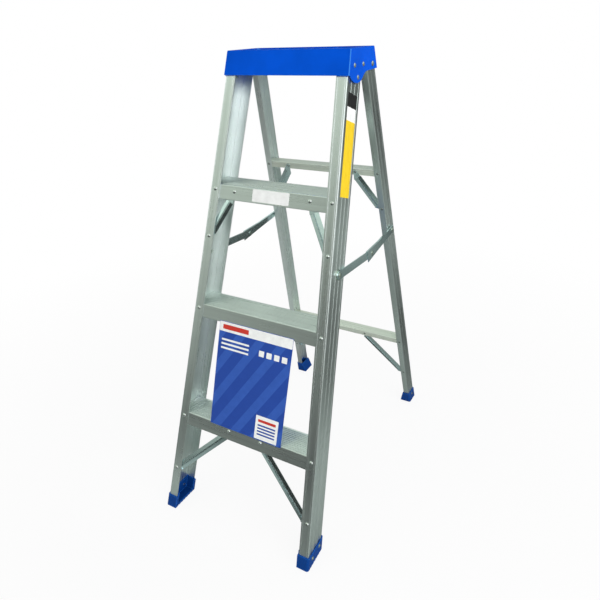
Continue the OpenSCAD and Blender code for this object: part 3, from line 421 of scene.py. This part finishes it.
# Finishes
def aluminium(name, base, turn, metal):
    """Satin mill-finish aluminium with drawn lines along the local Z direction after a turn."""
    line_share, cloud_share, worn_and_highlit_share, mark_rough = 0.45, 0.35, 0.5, 0.1
    dark, light, cloudy, worn_and_highlit = (rgba(base, gain) for gain in (0.88, 1.1, 0.8, 1.45))
    material, tree, shader = new_finish(name)
    lines = noise(tree, object_place(tree, turn, DRAWN_LINES), detail=4.0, rough=0.6)
    bands = noise(tree, object_place(tree, turn, DRAWN_BANDS), detail=2.0)
    clouds = noise(tree, object_place(tree, turn), scale=9.0, detail=4.0, rough=0.55)
    marks = noise(tree, object_place(tree, turn, HANDLING_MARKS), detail=5.0, rough=0.7)
    shade = plus(tree, times(tree, lines, line_share), times(tree, bands, 1 - line_share))
    tone = mix(tree, spread(tree, shade, MIDDLE), dark, light)
    tone = mix(tree, spread(tree, clouds, UPPER, (0.0, cloud_share)), tone, cloudy)
    # Paler edges: partly rubbed metal, partly a painted highlight along the edges
    tone = mix(tree, times(tree, edge_highlight_and_wear(tree, 0.9 * MM), worn_and_highlit_share), tone, worn_and_highlit)
    tree.links.new(tone, shader.inputs["Base Color"])
    rough = plus(tree, spread(tree, lines, MIDDLE, (0.25, 0.35)),
        spread(tree, clouds, MIDDLE, (-0.03, 0.05)),
        times(tree, spread(tree, marks, PEAKS), mark_rough))
    tree.links.new(rough, shader.inputs["Roughness"])
    shader.inputs["Metallic"].default_value = metal
    bump(tree, shader, lines, strength=0.12, distance=0.2 * MM, edge=SOFT_EDGE)
    return material


def galvanised(name, base):
    """Galvanised steel with a faint spangle."""
    cloud_share, worn_and_highlit_share = 0.4, 0.35
    dark, light, cloudy, worn_and_highlit = (rgba(base, gain) for gain in (0.96, 1.04, 0.86, 1.5))
    material, tree, shader = new_finish(name)
    here = object_place(tree)
    spangle = add(tree, "ShaderNodeTexVoronoi", [("Vector", here), ("Scale", 130.0),
        ("Randomness", 1.0)])
    flake = add(tree, "ShaderNodeSeparateColor", [(0, spangle.outputs["Color"])]).outputs[0]
    clouds = noise(tree, here, scale=22.0, detail=4.0, rough=0.6)
    tone = mix(tree, flake, dark, light)
    tone = mix(tree, spread(tree, clouds, UPPER, (0.0, cloud_share)), tone, cloudy)
    tone = mix(tree, times(tree, edge_highlight_and_wear(tree, 0.4 * MM), worn_and_highlit_share), tone, worn_and_highlit)
    tree.links.new(tone, shader.inputs["Base Color"])
    rough = plus(tree, spread(tree, flake, (0.0, 1.0), (0.19, 0.22)),
        spread(tree, clouds, MIDDLE, (-0.02, 0.03)))
    tree.links.new(rough, shader.inputs["Roughness"])
    shader.inputs["Metallic"].default_value = 1.0
    bump(tree, shader, noise(tree, here, scale=400.0), strength=0.04, distance=0.1 * MM)
    return material


def rivet_metal(name, base, rough):
    """Rivets, lightly rubbed."""
    dark, light = (rgba(base, gain) for gain in (0.85, 1.12))
    material, tree, shader = new_finish(name)
    here = object_place(tree)
    fine = noise(tree, here, scale=900.0, rough=0.6)
    clouds = noise(tree, here, scale=120.0)
    tree.links.new(mix(tree, clouds, dark, light), shader.inputs["Base Color"])
    rubbed = spread(tree, fine, MIDDLE, (rough - 0.05, rough + 0.06))
    tree.links.new(rubbed, shader.inputs["Roughness"])
    shader.inputs["Metallic"].default_value = RIVET_METAL
    bump(tree, shader, fine, strength=0.1, distance=0.1 * MM)
    return material


def moulded(name, base, pale, rough, grain, gloss, sheen, edge, corner_highlight_share):
    """Moulded plastic with a fine grain, faint flow clouds, scuffs, paler edges that are partly
    wear and partly painted highlight, and corners with a painted highlight.
    """
    worn_and_highlit_share, scuff_share, scuff_rough = 0.7, 0.06, 0.12
    dark, light = (rgba(base, gain) for gain in (0.9, 1.1))
    pale = rgba(pale)
    material, tree, shader = new_finish(name)
    here = object_place(tree)
    grit = noise(tree, here, scale=grain, detail=2.0, rough=0.6)
    clouds = noise(tree, here, scale=14.0, detail=4.0, rough=0.55)
    scuffs = spread(tree, noise(tree, object_place(tree, SCUFF_TURN, SCUFF_STRETCH),
        detail=4.0, rough=0.65), HIGH_PEAKS)
    tone = mix(tree, spread(tree, clouds, MIDDLE), dark, light)
    # Paler edges: partly wear, partly a painted highlight along them
    tone = mix(tree, times(tree, edge_highlight_and_wear(tree, edge), worn_and_highlit_share), tone, pale)
    # Painted highlight down the upright corners, where the normal faces sideways and back at once
    if corner_highlight_share:
        facing = add(tree, "ShaderNodeNewGeometry").outputs["Normal"]
        side, back = add(tree, "ShaderNodeSeparateXYZ", [(0, facing)]).outputs[:2]
        corner = math_node(tree, "ABSOLUTE", times(tree, side, back))
        tone = mix(tree, spread(tree, corner, CORNER_HIGHLIGHT_TURN, (0.0, corner_highlight_share)), tone, pale)
    tone = mix(tree, times(tree, scuffs, scuff_share), tone, pale)
    tree.links.new(tone, shader.inputs["Base Color"])
    scuffed = plus(tree, spread(tree, grit, MIDDLE, (rough - 0.04, rough + 0.05)),
        times(tree, scuffs, scuff_rough))
    tree.links.new(scuffed, shader.inputs["Roughness"])
    shader.inputs["Specular IOR Level"].default_value = gloss
    shader.inputs["Specular Tint"].default_value = rgba(sheen)
    bump(tree, shader, grit, strength=0.12, distance=0.2 * MM, edge=SOFT_EDGE)
    return material


def paper_noise(tree):
    """The mottle and the fibre of paper."""
    here = object_place(tree)
    mottle = noise(tree, here, scale=60.0, detail=4.0, rough=0.6)
    fibre = noise(tree, here, scale=700.0, rough=0.6)
    return mottle, fibre


def paper_surface(tree, shader, tone, fibre, rough):
    """Gives a paper's shader its tone, its range of roughness and a faint fibre."""
    tree.links.new(tone, shader.inputs["Base Color"])
    tree.links.new(spread(tree, fibre, MIDDLE, rough), shader.inputs["Roughness"])
    shader.inputs["Specular IOR Level"].default_value = PAPER_GLOSS
    bump(tree, shader, fibre, strength=0.06, distance=0.1 * MM)


def printed(name, base, rough=0.4):
    """Printed film or card with a faint fibre and ink mottle."""
    dark, light = (rgba(base, gain) for gain in (0.93, 1.06))
    material, tree, shader = new_finish(name)
    mottle, fibre = paper_noise(tree)
    tone = mix(tree, spread(tree, mottle, MIDDLE), dark, light)
    paper_surface(tree, shader, tone, fibre, (rough - 0.05, rough + 0.07))
    return material


def card_stock(name, field, stripe):
    """Coated card in a blue field with broad slanting stripes."""
    mottle_share, dark = 0.25, rgba(field, 0.8)
    material, tree, shader = new_finish(name)
    slanted = object_place(tree, (0, STRIPE_SLANT, 0))
    along = add(tree, "ShaderNodeSeparateXYZ", [(0, slanted)]).outputs[0]
    wave = math_node(tree, "SINE", times(tree, along, STRIPE_PACE))
    mottle, fibre = paper_noise(tree)
    tone = mix(tree, spread(tree, wave, STRIPE_EDGE), rgba(field), rgba(stripe))
    tone = mix(tree, spread(tree, mottle, WIDE_UPPER, (0.0, mottle_share)), tone, dark)
    paper_surface(tree, shader, tone, fibre, (0.3, 0.4))
    return material


# Modelling helpers
def start():
    """Object mode with nothing selected."""
    if bpy.context.object and bpy.context.object.mode != "OBJECT":
        bpy.ops.object.mode_set(mode="OBJECT")
    bpy.ops.object.select_all(action="DESELECT")


def pick(piece, test):
    """In edit mode, selects the vertices whose place passes a test, with their edges and faces."""
    mesh = bmesh.from_edit_mesh(piece.data)
    for vert in mesh.verts:
        vert.select = test(vert.co)
    mesh.select_flush_mode()
    bmesh.update_edit_mesh(piece.data)


def put(piece, matrix):
    """Puts a piece by a matrix and moves its place into its mesh."""
    start()
    piece.matrix_world = matrix
    piece.select_set(True)
    bpy.context.view_layer.objects.active = piece
    bpy.ops.object.transform_apply(location=True, rotation=True, scale=True)


def rounded_plate(name, width, height, film, corner, material):
    """A thin plate with rounded corners and a softened front edge, lying on XY with its face up."""
    softening = film * 0.3
    start()
    bpy.ops.mesh.primitive_plane_add(size=1)
    piece = bpy.context.object
    piece.name = piece.data.name = name
    bpy.ops.object.mode_set(mode="EDIT")
    bpy.ops.transform.resize(value=(width, height, 1))
    bpy.ops.mesh.bevel(offset=corner, segments=6, affect="VERTICES")
    bpy.ops.mesh.extrude_region_move(TRANSFORM_OT_translate={"value": (0, 0, film)})
    bpy.ops.mesh.select_all(action="SELECT")
    bpy.ops.mesh.normals_make_consistent(inside=False)
    pick(piece, lambda co: co.z > film / 2)
    bpy.ops.mesh.bevel(offset=softening, segments=2, affect="EDGES")
    bpy.ops.object.mode_set(mode="OBJECT")
    piece.data.materials.append(material)
    return piece


def joined(name, pieces):
    """Several pieces as one."""
    start()
    for piece in pieces:
        piece.select_set(True)
    bpy.context.view_layer.objects.active = pieces[0]
    bpy.ops.object.join()
    piece = bpy.context.object
    piece.name = piece.data.name = name
    return piece


def frame_matrix(sizes):
    """The front frame's plane: X across, Y up the frame and Z out of its face."""
    turn = Euler((-sizes.front_lean, 0, 0)).to_matrix().to_4x4()
    face = Matrix(((1, 0, 0, 0), (0, 0, -1, 0), (0, 1, 0, 0), (0, 0, 0, 1)))
    return Matrix.Translation((0, sizes.front_face, 0)) @ turn @ face


def web_matrix(sizes):
    """The right front rail's outer web: X back across the web, Y up the rail and Z out."""
    turn = Euler((-sizes.front_lean, 0, 0)).to_matrix().to_4x4()
    splay = Euler((0, -sizes.front_splay, 0)).to_matrix().to_4x4()
    face = Matrix(((0, 0, 1, 0), (1, 0, 0, 0), (0, 1, 0, 0), (0, 0, 0, 1)))
    return (Matrix.Translation((0, sizes.front_face, 0)) @ turn
        @ Matrix.Translation((sizes.half_base, 0, 0)) @ splay @ face)


# Operators
class LADDER_OT_aluminium(bpy.types.Operator):
    """Give the rails, steps and bars their drawn aluminium finish"""

    bl_idname = "ladder.aluminium"
    bl_label = "Aluminium"

    def execute(self, context):
        settings = context.scene.ladder
        colours, sizes = settings.colours, settings.sizes
        base = colours.aluminium
        for name, side in FRONT_RAILS.items():
            turn = (-sizes.front_lean, -side * sizes.front_splay, 0)
            dress([name], aluminium("aluminium_" + name, base, turn, FRONT_RAIL_METAL))
        for name, side in REAR_RAILS.items():
            turn = (sizes.rear_lean, -side * sizes.rear_splay, 0)
            dress([name], aluminium("aluminium_" + name, base, turn, REAR_RAIL_METAL[name]))
        across = (0, math.radians(90), 0)
        step = [part * STEP_TONE for part in base]
        dress(STEPS, aluminium("aluminium_steps", step, across, STEP_METAL))
        dress(BARS, aluminium("aluminium_bars", colours.bar, across, BAR_METAL))
        return {"FINISHED"}


class LADDER_OT_steel(bpy.types.Operator):
    """Give the braces, spreaders and hinge plates their galvanised finish"""

    bl_idname = "ladder.steel"
    bl_label = "Galvanised steel"

    def execute(self, context):
        dress(STEEL, galvanised("galvanised_steel", context.scene.ladder.colours.steel))
        return {"FINISHED"}


class LADDER_OT_rivets(bpy.types.Operator):
    """Give the rivets and washers their bright or dull finish"""

    bl_idname = "ladder.rivets"
    bl_label = "Rivets"

    def execute(self, context):
        colours = context.scene.ladder.colours
        dress(RIVETS, rivet_metal("rivet_metal", colours.rivet, rough=0.2))
        dress(STEP_RIVETS, rivet_metal("step_rivet_metal", colours.step_rivet, rough=0.16))
        dress(DULL_RIVETS, rivet_metal("dull_rivet_metal", colours.dull_rivet, rough=0.4))
        return {"FINISHED"}


class LADDER_OT_plastic(bpy.types.Operator):
    """Give the cap and the feet their moulded finish"""

    bl_idname = "ladder.plastic"
    bl_label = "Cap and feet"

    def execute(self, context):
        colours = context.scene.ladder.colours
        dress(["top_cap"], moulded("cap_plastic", colours.cap, colours.cap_edge, rough=0.5,
            grain=900.0, gloss=0.02, sheen=(0.08, 0.4, 1.0), edge=2 * MM, corner_highlight_share=0.75))
        dress(FEET, moulded("foot_plastic", colours.foot, colours.foot_edge, rough=0.4,
            grain=700.0, gloss=0.15, sheen=(0.4, 0.7, 1.0), edge=4 * MM, corner_highlight_share=0.0))
        return {"FINISHED"}


class LADDER_OT_card(bpy.types.Operator):
    """Print the card: a white band and plain panels on a striped blue field"""

    bl_idname = "ladder.card"
    bl_label = "Card"

    def execute(self, context):
        settings = context.scene.ladder
        colours, sizes = settings.colours, settings.sizes
        dress(["info_card"], card_stock("card_stock", colours.card_field, colours.card_stripe))
        inks = {
            "white": printed("card_white", colours.paper, INK_ROUGH),
            "red": printed("card_accent", colours.accent, INK_ROUGH),
            "blue": printed("card_ink", colours.card_field, INK_ROUGH),
        }
        low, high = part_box("info_card")
        # Middle and half height of the card along the frame
        middle = (low.z + high.z) / 2 / math.cos(sizes.front_lean)
        half = (high.z - low.z) / math.cos(sizes.front_lean) / 2
        parts = []
        for ink, layer, wide, tall, across, edge, away, count, step, drop in CARD_SHAPES:
            width = high.x - low.x - CARD_MARGIN if wide is None else wide * MM
            lift = FILM_GAP + layer * (INK_FILM + FILM_GAP) - sizes.card_face
            for k in range(count):
                part = rounded_plate("card_part", width, tall * MM, INK_FILM, INK_CORNER, inks[ink])
                x = (across + step * k) * MM
                y = half - (away + drop * k) * MM
                if edge == "bottom":
                    y = -y
                put(part, frame_matrix(sizes) @ Matrix.Translation((x, middle + y, lift)))
                parts.append(part)
        piece = joined("card_print", parts)
        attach(piece, "front_frame")
        return {"FINISHED"}


class LADDER_OT_step_label(bpy.types.Operator):
    """Put a bare white label on the top step's skirt"""

    bl_idname = "ladder.step_label"
    bl_label = "Step label"

    def execute(self, context):
        settings = context.scene.ladder
        sizes = settings.sizes
        height = sizes.step_label_high - sizes.step_label_low
        piece = rounded_plate("step_label", 2 * sizes.step_label_half, height, sizes.label_film,
            LABEL_CORNER, printed("label_white", settings.colours.paper))
        middle = (sizes.step_label_low + sizes.step_label_high) / 2
        lift = FILM_GAP - sizes.skirt_depth
        put(piece, frame_matrix(sizes) @ Matrix.Translation((0, middle, lift)))
        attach(piece, "front_frame")
        return {"FINISHED"}


class LADDER_OT_rail_label(bpy.types.Operator):
    """Put a bare label in three colours on the right rail's web, pressed into its grooves"""

    bl_idname = "ladder.rail_label"
    bl_label = "Rail label"

    def execute(self, context):
        settings = context.scene.ladder
        colours, sizes = settings.colours, settings.sizes
        parts = []
        for name, low, high, tone in (
            ("yellow", sizes.label_low, sizes.label_white, colours.yellow),
            ("white", sizes.label_white, sizes.label_black, colours.paper),
            ("black", sizes.label_black, sizes.label_high, colours.black),
        ):
            part = self.panel(sizes, low, high, printed("label_" + name, tone))
            put(part, web_matrix(sizes))
            parts.append(part)
        piece = joined("rail_label", parts)
        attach(piece, "front_frame")
        return {"FINISHED"}

    def stations(self, sizes):
        """Places across the web where the film bends, each with its height there."""
        floor = LABEL_LIFT - sizes.groove_depth
        pitch = sizes.web_groove + sizes.web_rib
        bends = []
        for k in (1, 2):
            near = sizes.web_band + k * pitch - sizes.web_rib
            far = near + sizes.web_rib
            bends += [(near - GROOVE_EASE, floor), (near - LABEL_LIFT, LABEL_LIFT)]
            bends += [(far + LABEL_LIFT, LABEL_LIFT), (far + GROOVE_EASE, floor)]
        return bends + [(sizes.label_rear, floor)]

    def panel(self, sizes, low, high, material):
        """One panel of film: a first strip, then strips drawn on over the ribs and grooves."""
        (across, height), *others = self.stations(sizes)
        start()
        bpy.ops.mesh.primitive_plane_add(size=1)
        piece = bpy.context.object
        piece.name = piece.data.name = "label_part"
        bpy.ops.object.mode_set(mode="EDIT")
        bpy.ops.transform.resize(value=(across - sizes.label_front, high - low, 1))
        middle = ((across + sizes.label_front) / 2, (high + low) / 2, height)
        bpy.ops.transform.translate(value=middle)
        for far, up in others:
            pick(piece, lambda co: abs(co.x - across) < LABEL_LIFT / 2)
            step = (far - across, 0, up - height)
            bpy.ops.mesh.extrude_region_move(TRANSFORM_OT_translate={"value": step})
            across, height = far, up
        bpy.ops.mesh.select_all(action="SELECT")
        bpy.ops.mesh.normals_make_consistent(inside=False)
        bpy.ops.object.mode_set(mode="OBJECT")
        thick = piece.modifiers.new("film", "SOLIDIFY")
        thick.thickness = sizes.label_film
        thick.offset = 1
        bpy.ops.object.modifier_apply(modifier=thick.name)
        piece.data.materials.append(material)
        return piece


class LADDER_OT_stage(bpy.types.Operator):
    """Set the camera, the lamps, the floor and the white surroundings"""

    bl_idname = "ladder.stage"
    bl_label = "Stage"

    def execute(self, context):
        studio = context.scene.ladder.studio
        self.camera(context, studio)
        for name, spot, aim, wide in LAMPS:
            self.lamp(name + "_lamp", spot, aim, wide, getattr(studio, name + "_power"))
        self.floor(studio)
        self.surroundings(context, studio)
        context.scene.view_settings.view_transform = "Standard"
        return {"FINISHED"}

    def camera(self, context, studio):
        """The camera at the photograph's place, turned by its yaw, pitch and roll."""
        yaw, pitch, roll = studio.camera_yaw, studio.camera_pitch, studio.camera_roll
        ahead = Vector((-math.sin(yaw) * math.cos(pitch), math.cos(yaw) * math.cos(pitch),
            -math.sin(pitch)))
        side = Vector((math.cos(yaw), math.sin(yaw), 0))
        over = side.cross(ahead)
        right = math.cos(roll) * side + math.sin(roll) * over
        above = -math.sin(roll) * side + math.cos(roll) * over
        data = bpy.data.cameras.new("camera")
        data.sensor_width = SENSOR_WIDTH
        data.lens = studio.camera_lens
        data.shift_x, data.shift_y = studio.camera_shift
        camera = bpy.data.objects.new("camera", data)
        turn = Matrix((right, above, -ahead)).transposed().to_4x4()
        camera.matrix_world = Matrix.Translation(studio.camera_place) @ turn
        context.scene.collection.objects.link(camera)
        context.scene.camera = camera

    def lamp(self, name, spot, aim, wide, power):
        """A round soft lamp that the metal doesn't mirror."""
        start()
        bpy.ops.object.light_add(type="AREA", location=spot)
        lamp = bpy.context.object
        lamp.name = lamp.data.name = name
        lamp.data.shape = "DISK"
        lamp.data.size = wide
        lamp.data.energy = power
        lamp.visible_glossy = False
        lamp.rotation_euler = (Vector(aim) - Vector(spot)).to_track_quat("-Z", "Y").to_euler()

    def floor(self, studio):
        """A pale floor that keeps the shadow, near white to the camera and graded in the mirror."""
        start()
        bpy.ops.mesh.primitive_plane_add(size=FLOOR_SIZE, location=(0, 0, -FLOOR_DROP))
        floor = bpy.context.object
        floor.name = floor.data.name = "floor"
        material, tree, shader = new_finish("floor_paint")
        path = add(tree, "ShaderNodeLightPath").outputs
        here = object_place(tree)
        dark, pale = (rgba((tone, tone, tone)) for tone in FLOOR_TONES)
        paint = mix(tree, noise(tree, here, scale=60.0), dark, pale)
        diffuse = add(tree, "ShaderNodeBsdfDiffuse", [("Color", paint)])
        glow = add(tree, "ShaderNodeEmission", [("Color", WHITE), ("Strength", 1.0)])
        away = add(tree, "ShaderNodeVectorMath", [(0, here)], operation="LENGTH").outputs["Value"]
        shown = math_node(tree, "MAXIMUM", path["Is Camera Ray"], path["Is Transmission Ray"])
        share = times(tree, shown, spread(tree, away, GLOW_REACH, GLOW_SHARE))
        plain = add(tree, "ShaderNodeMixShader", [(0, share), (1, diffuse.outputs[0]),
            (2, glow.outputs[0])])
        # Painted reflection: for mirrored rays the floor glows at graded levels instead of showing
        # its lit paint
        mirrored = add(tree, "ShaderNodeEmission", [("Color", rgba(studio.wall_cast)),
            ("Strength", self.mirrored_floor(tree, here, studio))])
        both = add(tree, "ShaderNodeMixShader", [(0, path["Is Glossy Ray"]),
            (1, plain.outputs[0]), (2, mirrored.outputs[0])])
        output = next(n for n in tree.nodes if n.type == "OUTPUT_MATERIAL")
        tree.links.new(both.outputs[0], output.inputs["Surface"])
        tree.nodes.remove(shader)
        floor.data.materials.append(material)

    def mirrored_floor(self, tree, here, studio):
        """The floor's level in the mirror, a painted reflection: dark in front, with a painted
        shadow under the ladder, lighter behind.
        """
        across, along = add(tree, "ShaderNodeSeparateXYZ", [(0, here)]).outputs[:2]
        band = times(tree, spread(tree, along, BAND_RISE_ALONG),
            spread(tree, along, BAND_FALL_ALONG, BAND_FALL_LEVEL),
            spread(tree, across, BAND_ACROSS, BAND_LEVEL))
        near = plus(tree, spread(tree, across, NEAR_ACROSS, (studio.floor_left, studio.floor_near)),
            band, spread(tree, across, FAR_LEFT_ACROSS, FAR_LEFT_LEVEL))
        left = between(tree, spread(tree, along, CLIMB_ALONG), near, studio.floor_far)
        # Painted shadow: the mirrored floor is darker around the ground under the ladder
        under = add(tree, "ShaderNodeVectorMath", [(0, here), (1, LADDER_SHADOW_MIDDLE)],
            operation="DISTANCE").outputs["Value"]
        left = times(tree, left, spread(tree, under, LADDER_SHADOW_REACH, LADDER_SHADOW_LEVEL))
        right = spread(tree, along, RIGHT_ALONG, RIGHT_LEVEL)
        for span, step in RIGHT_STEPS:
            right = plus(tree, right, spread(tree, along, span, (0.0, step)))
        slant = math_node(tree, "DIVIDE", across,
            math_node(tree, "MAXIMUM", along, SLANT_NEAREST))
        slant = math_node(tree, "MAXIMUM", slant, spread(tree, along, SLANT_START, (1.0, 0.0)))
        right = times(tree, right, spread(tree, slant, SLANT_SPAN, SLANT_LEVEL))
        return between(tree, spread(tree, across, RIGHT_ACROSS), left, right)

    def surroundings(self, context, studio):
        """White for the camera, an even level for the light and a graded studio in the mirror."""
        world = bpy.data.worlds.new("surroundings")
        world.use_nodes = True
        tree = world.node_tree
        light = next(n for n in tree.nodes if n.type == "BACKGROUND")
        path = add(tree, "ShaderNodeLightPath").outputs
        gaze = add(tree, "ShaderNodeTexCoord").outputs["Generated"]
        side, back, up = add(tree, "ShaderNodeSeparateXYZ", [(0, gaze)]).outputs
        behind = spread(tree, back, BEHIND_BACK)
        walls = between(tree, behind,
            spread(tree, up, FRONT_UP, (studio.front_low, studio.front_high)),
            spread(tree, up, BACK_UP, (studio.back, studio.back_high)))
        dusk = times(tree, spread(tree, side, DUSK_SIDE),
            spread(tree, back, DUSK_BACK, DUSK_DEPTH))
        ahead = add(tree, "ShaderNodeVectorMath", [(0, gaze), (1, GLOOM_WAY)],
            operation="DOT_PRODUCT").outputs["Value"]
        walls = times(tree, walls, math_node(tree, "SUBTRACT", 1.0, dusk),
            spread(tree, ahead, GLOOM_REACH, GLOOM_LEVEL))
        pane = times(tree, spread(tree, side, PANE_SIDE),
            spread(tree, back, PANE_BACK, (1.0, 0.0)), spread(tree, up, PANE_UP, PANE_LEVEL))
        mirrored = plus(tree, walls, spread(tree, side, LEFT_SIDE, LEFT_LEVEL),
            times(tree, pane, studio.window))
        shown = math_node(tree, "MAXIMUM", path["Is Camera Ray"], path["Is Transmission Ray"])
        plain = spread(tree, shown, (0.0, 1.0), (studio.ambient, 1.0))
        strength = between(tree, path["Is Glossy Ray"], plain, mirrored)
        tree.links.new(strength, light.inputs["Strength"])
        cast = mix(tree, behind, rgba(studio.front_cast), rgba(studio.wall_cast))
        cast = mix(tree, pane, cast, rgba(studio.window_cast))
        cast = mix(tree, path["Is Glossy Ray"], WHITE, cast)
        tree.links.new(cast, light.inputs["Color"])
        context.scene.world = world


OPERATORS = (
    LADDER_OT_aluminium, LADDER_OT_steel, LADDER_OT_rivets, LADDER_OT_plastic, LADDER_OT_card,
    LADDER_OT_step_label, LADDER_OT_rail_label, LADDER_OT_stage,
)


class LADDER_PT_looks(bpy.types.Panel):
    """Panel with the ladder's looks"""

    bl_idname = "LADDER_PT_looks"
    bl_label = "Step ladder"
    bl_space_type = "VIEW_3D"
    bl_region_type = "UI"
    bl_category = "Ladder"

    def draw(self, context):
        for made in OPERATORS:
            self.layout.operator(made.bl_idname)
        settings = context.scene.ladder
        for group in (settings.colours, settings.sizes, settings.studio):
            column = self.layout.column()
            for key in group.bl_rna.properties.keys():
                if key not in {"rna_type", "name"}:
                    column.prop(group, key)


GROUPS = (LADDER_PG_colours, LADDER_PG_sizes, LADDER_PG_studio, LADDER_PG_settings)
CLASSES = (*GROUPS, *OPERATORS, LADDER_PT_looks)


def register():
    """Registers the classes and the settings."""
    for made in CLASSES:
        bpy.utils.register_class(made)
    bpy.types.Scene.ladder = PointerProperty(type=LADDER_PG_settings)


def unregister():
    """Removes the settings and the classes."""
    del bpy.types.Scene.ladder
    for made in reversed(CLASSES):
        bpy.utils.unregister_class(made)


def main():
    """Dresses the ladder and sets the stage."""
    register()
    bpy.ops.ladder.aluminium()
    bpy.ops.ladder.steel()
    bpy.ops.ladder.rivets()
    bpy.ops.ladder.plastic()
    bpy.ops.ladder.card()
    bpy.ops.ladder.step_label()
    bpy.ops.ladder.rail_label()
    bpy.ops.ladder.stage()


if __name__ == "__main__":
    main()
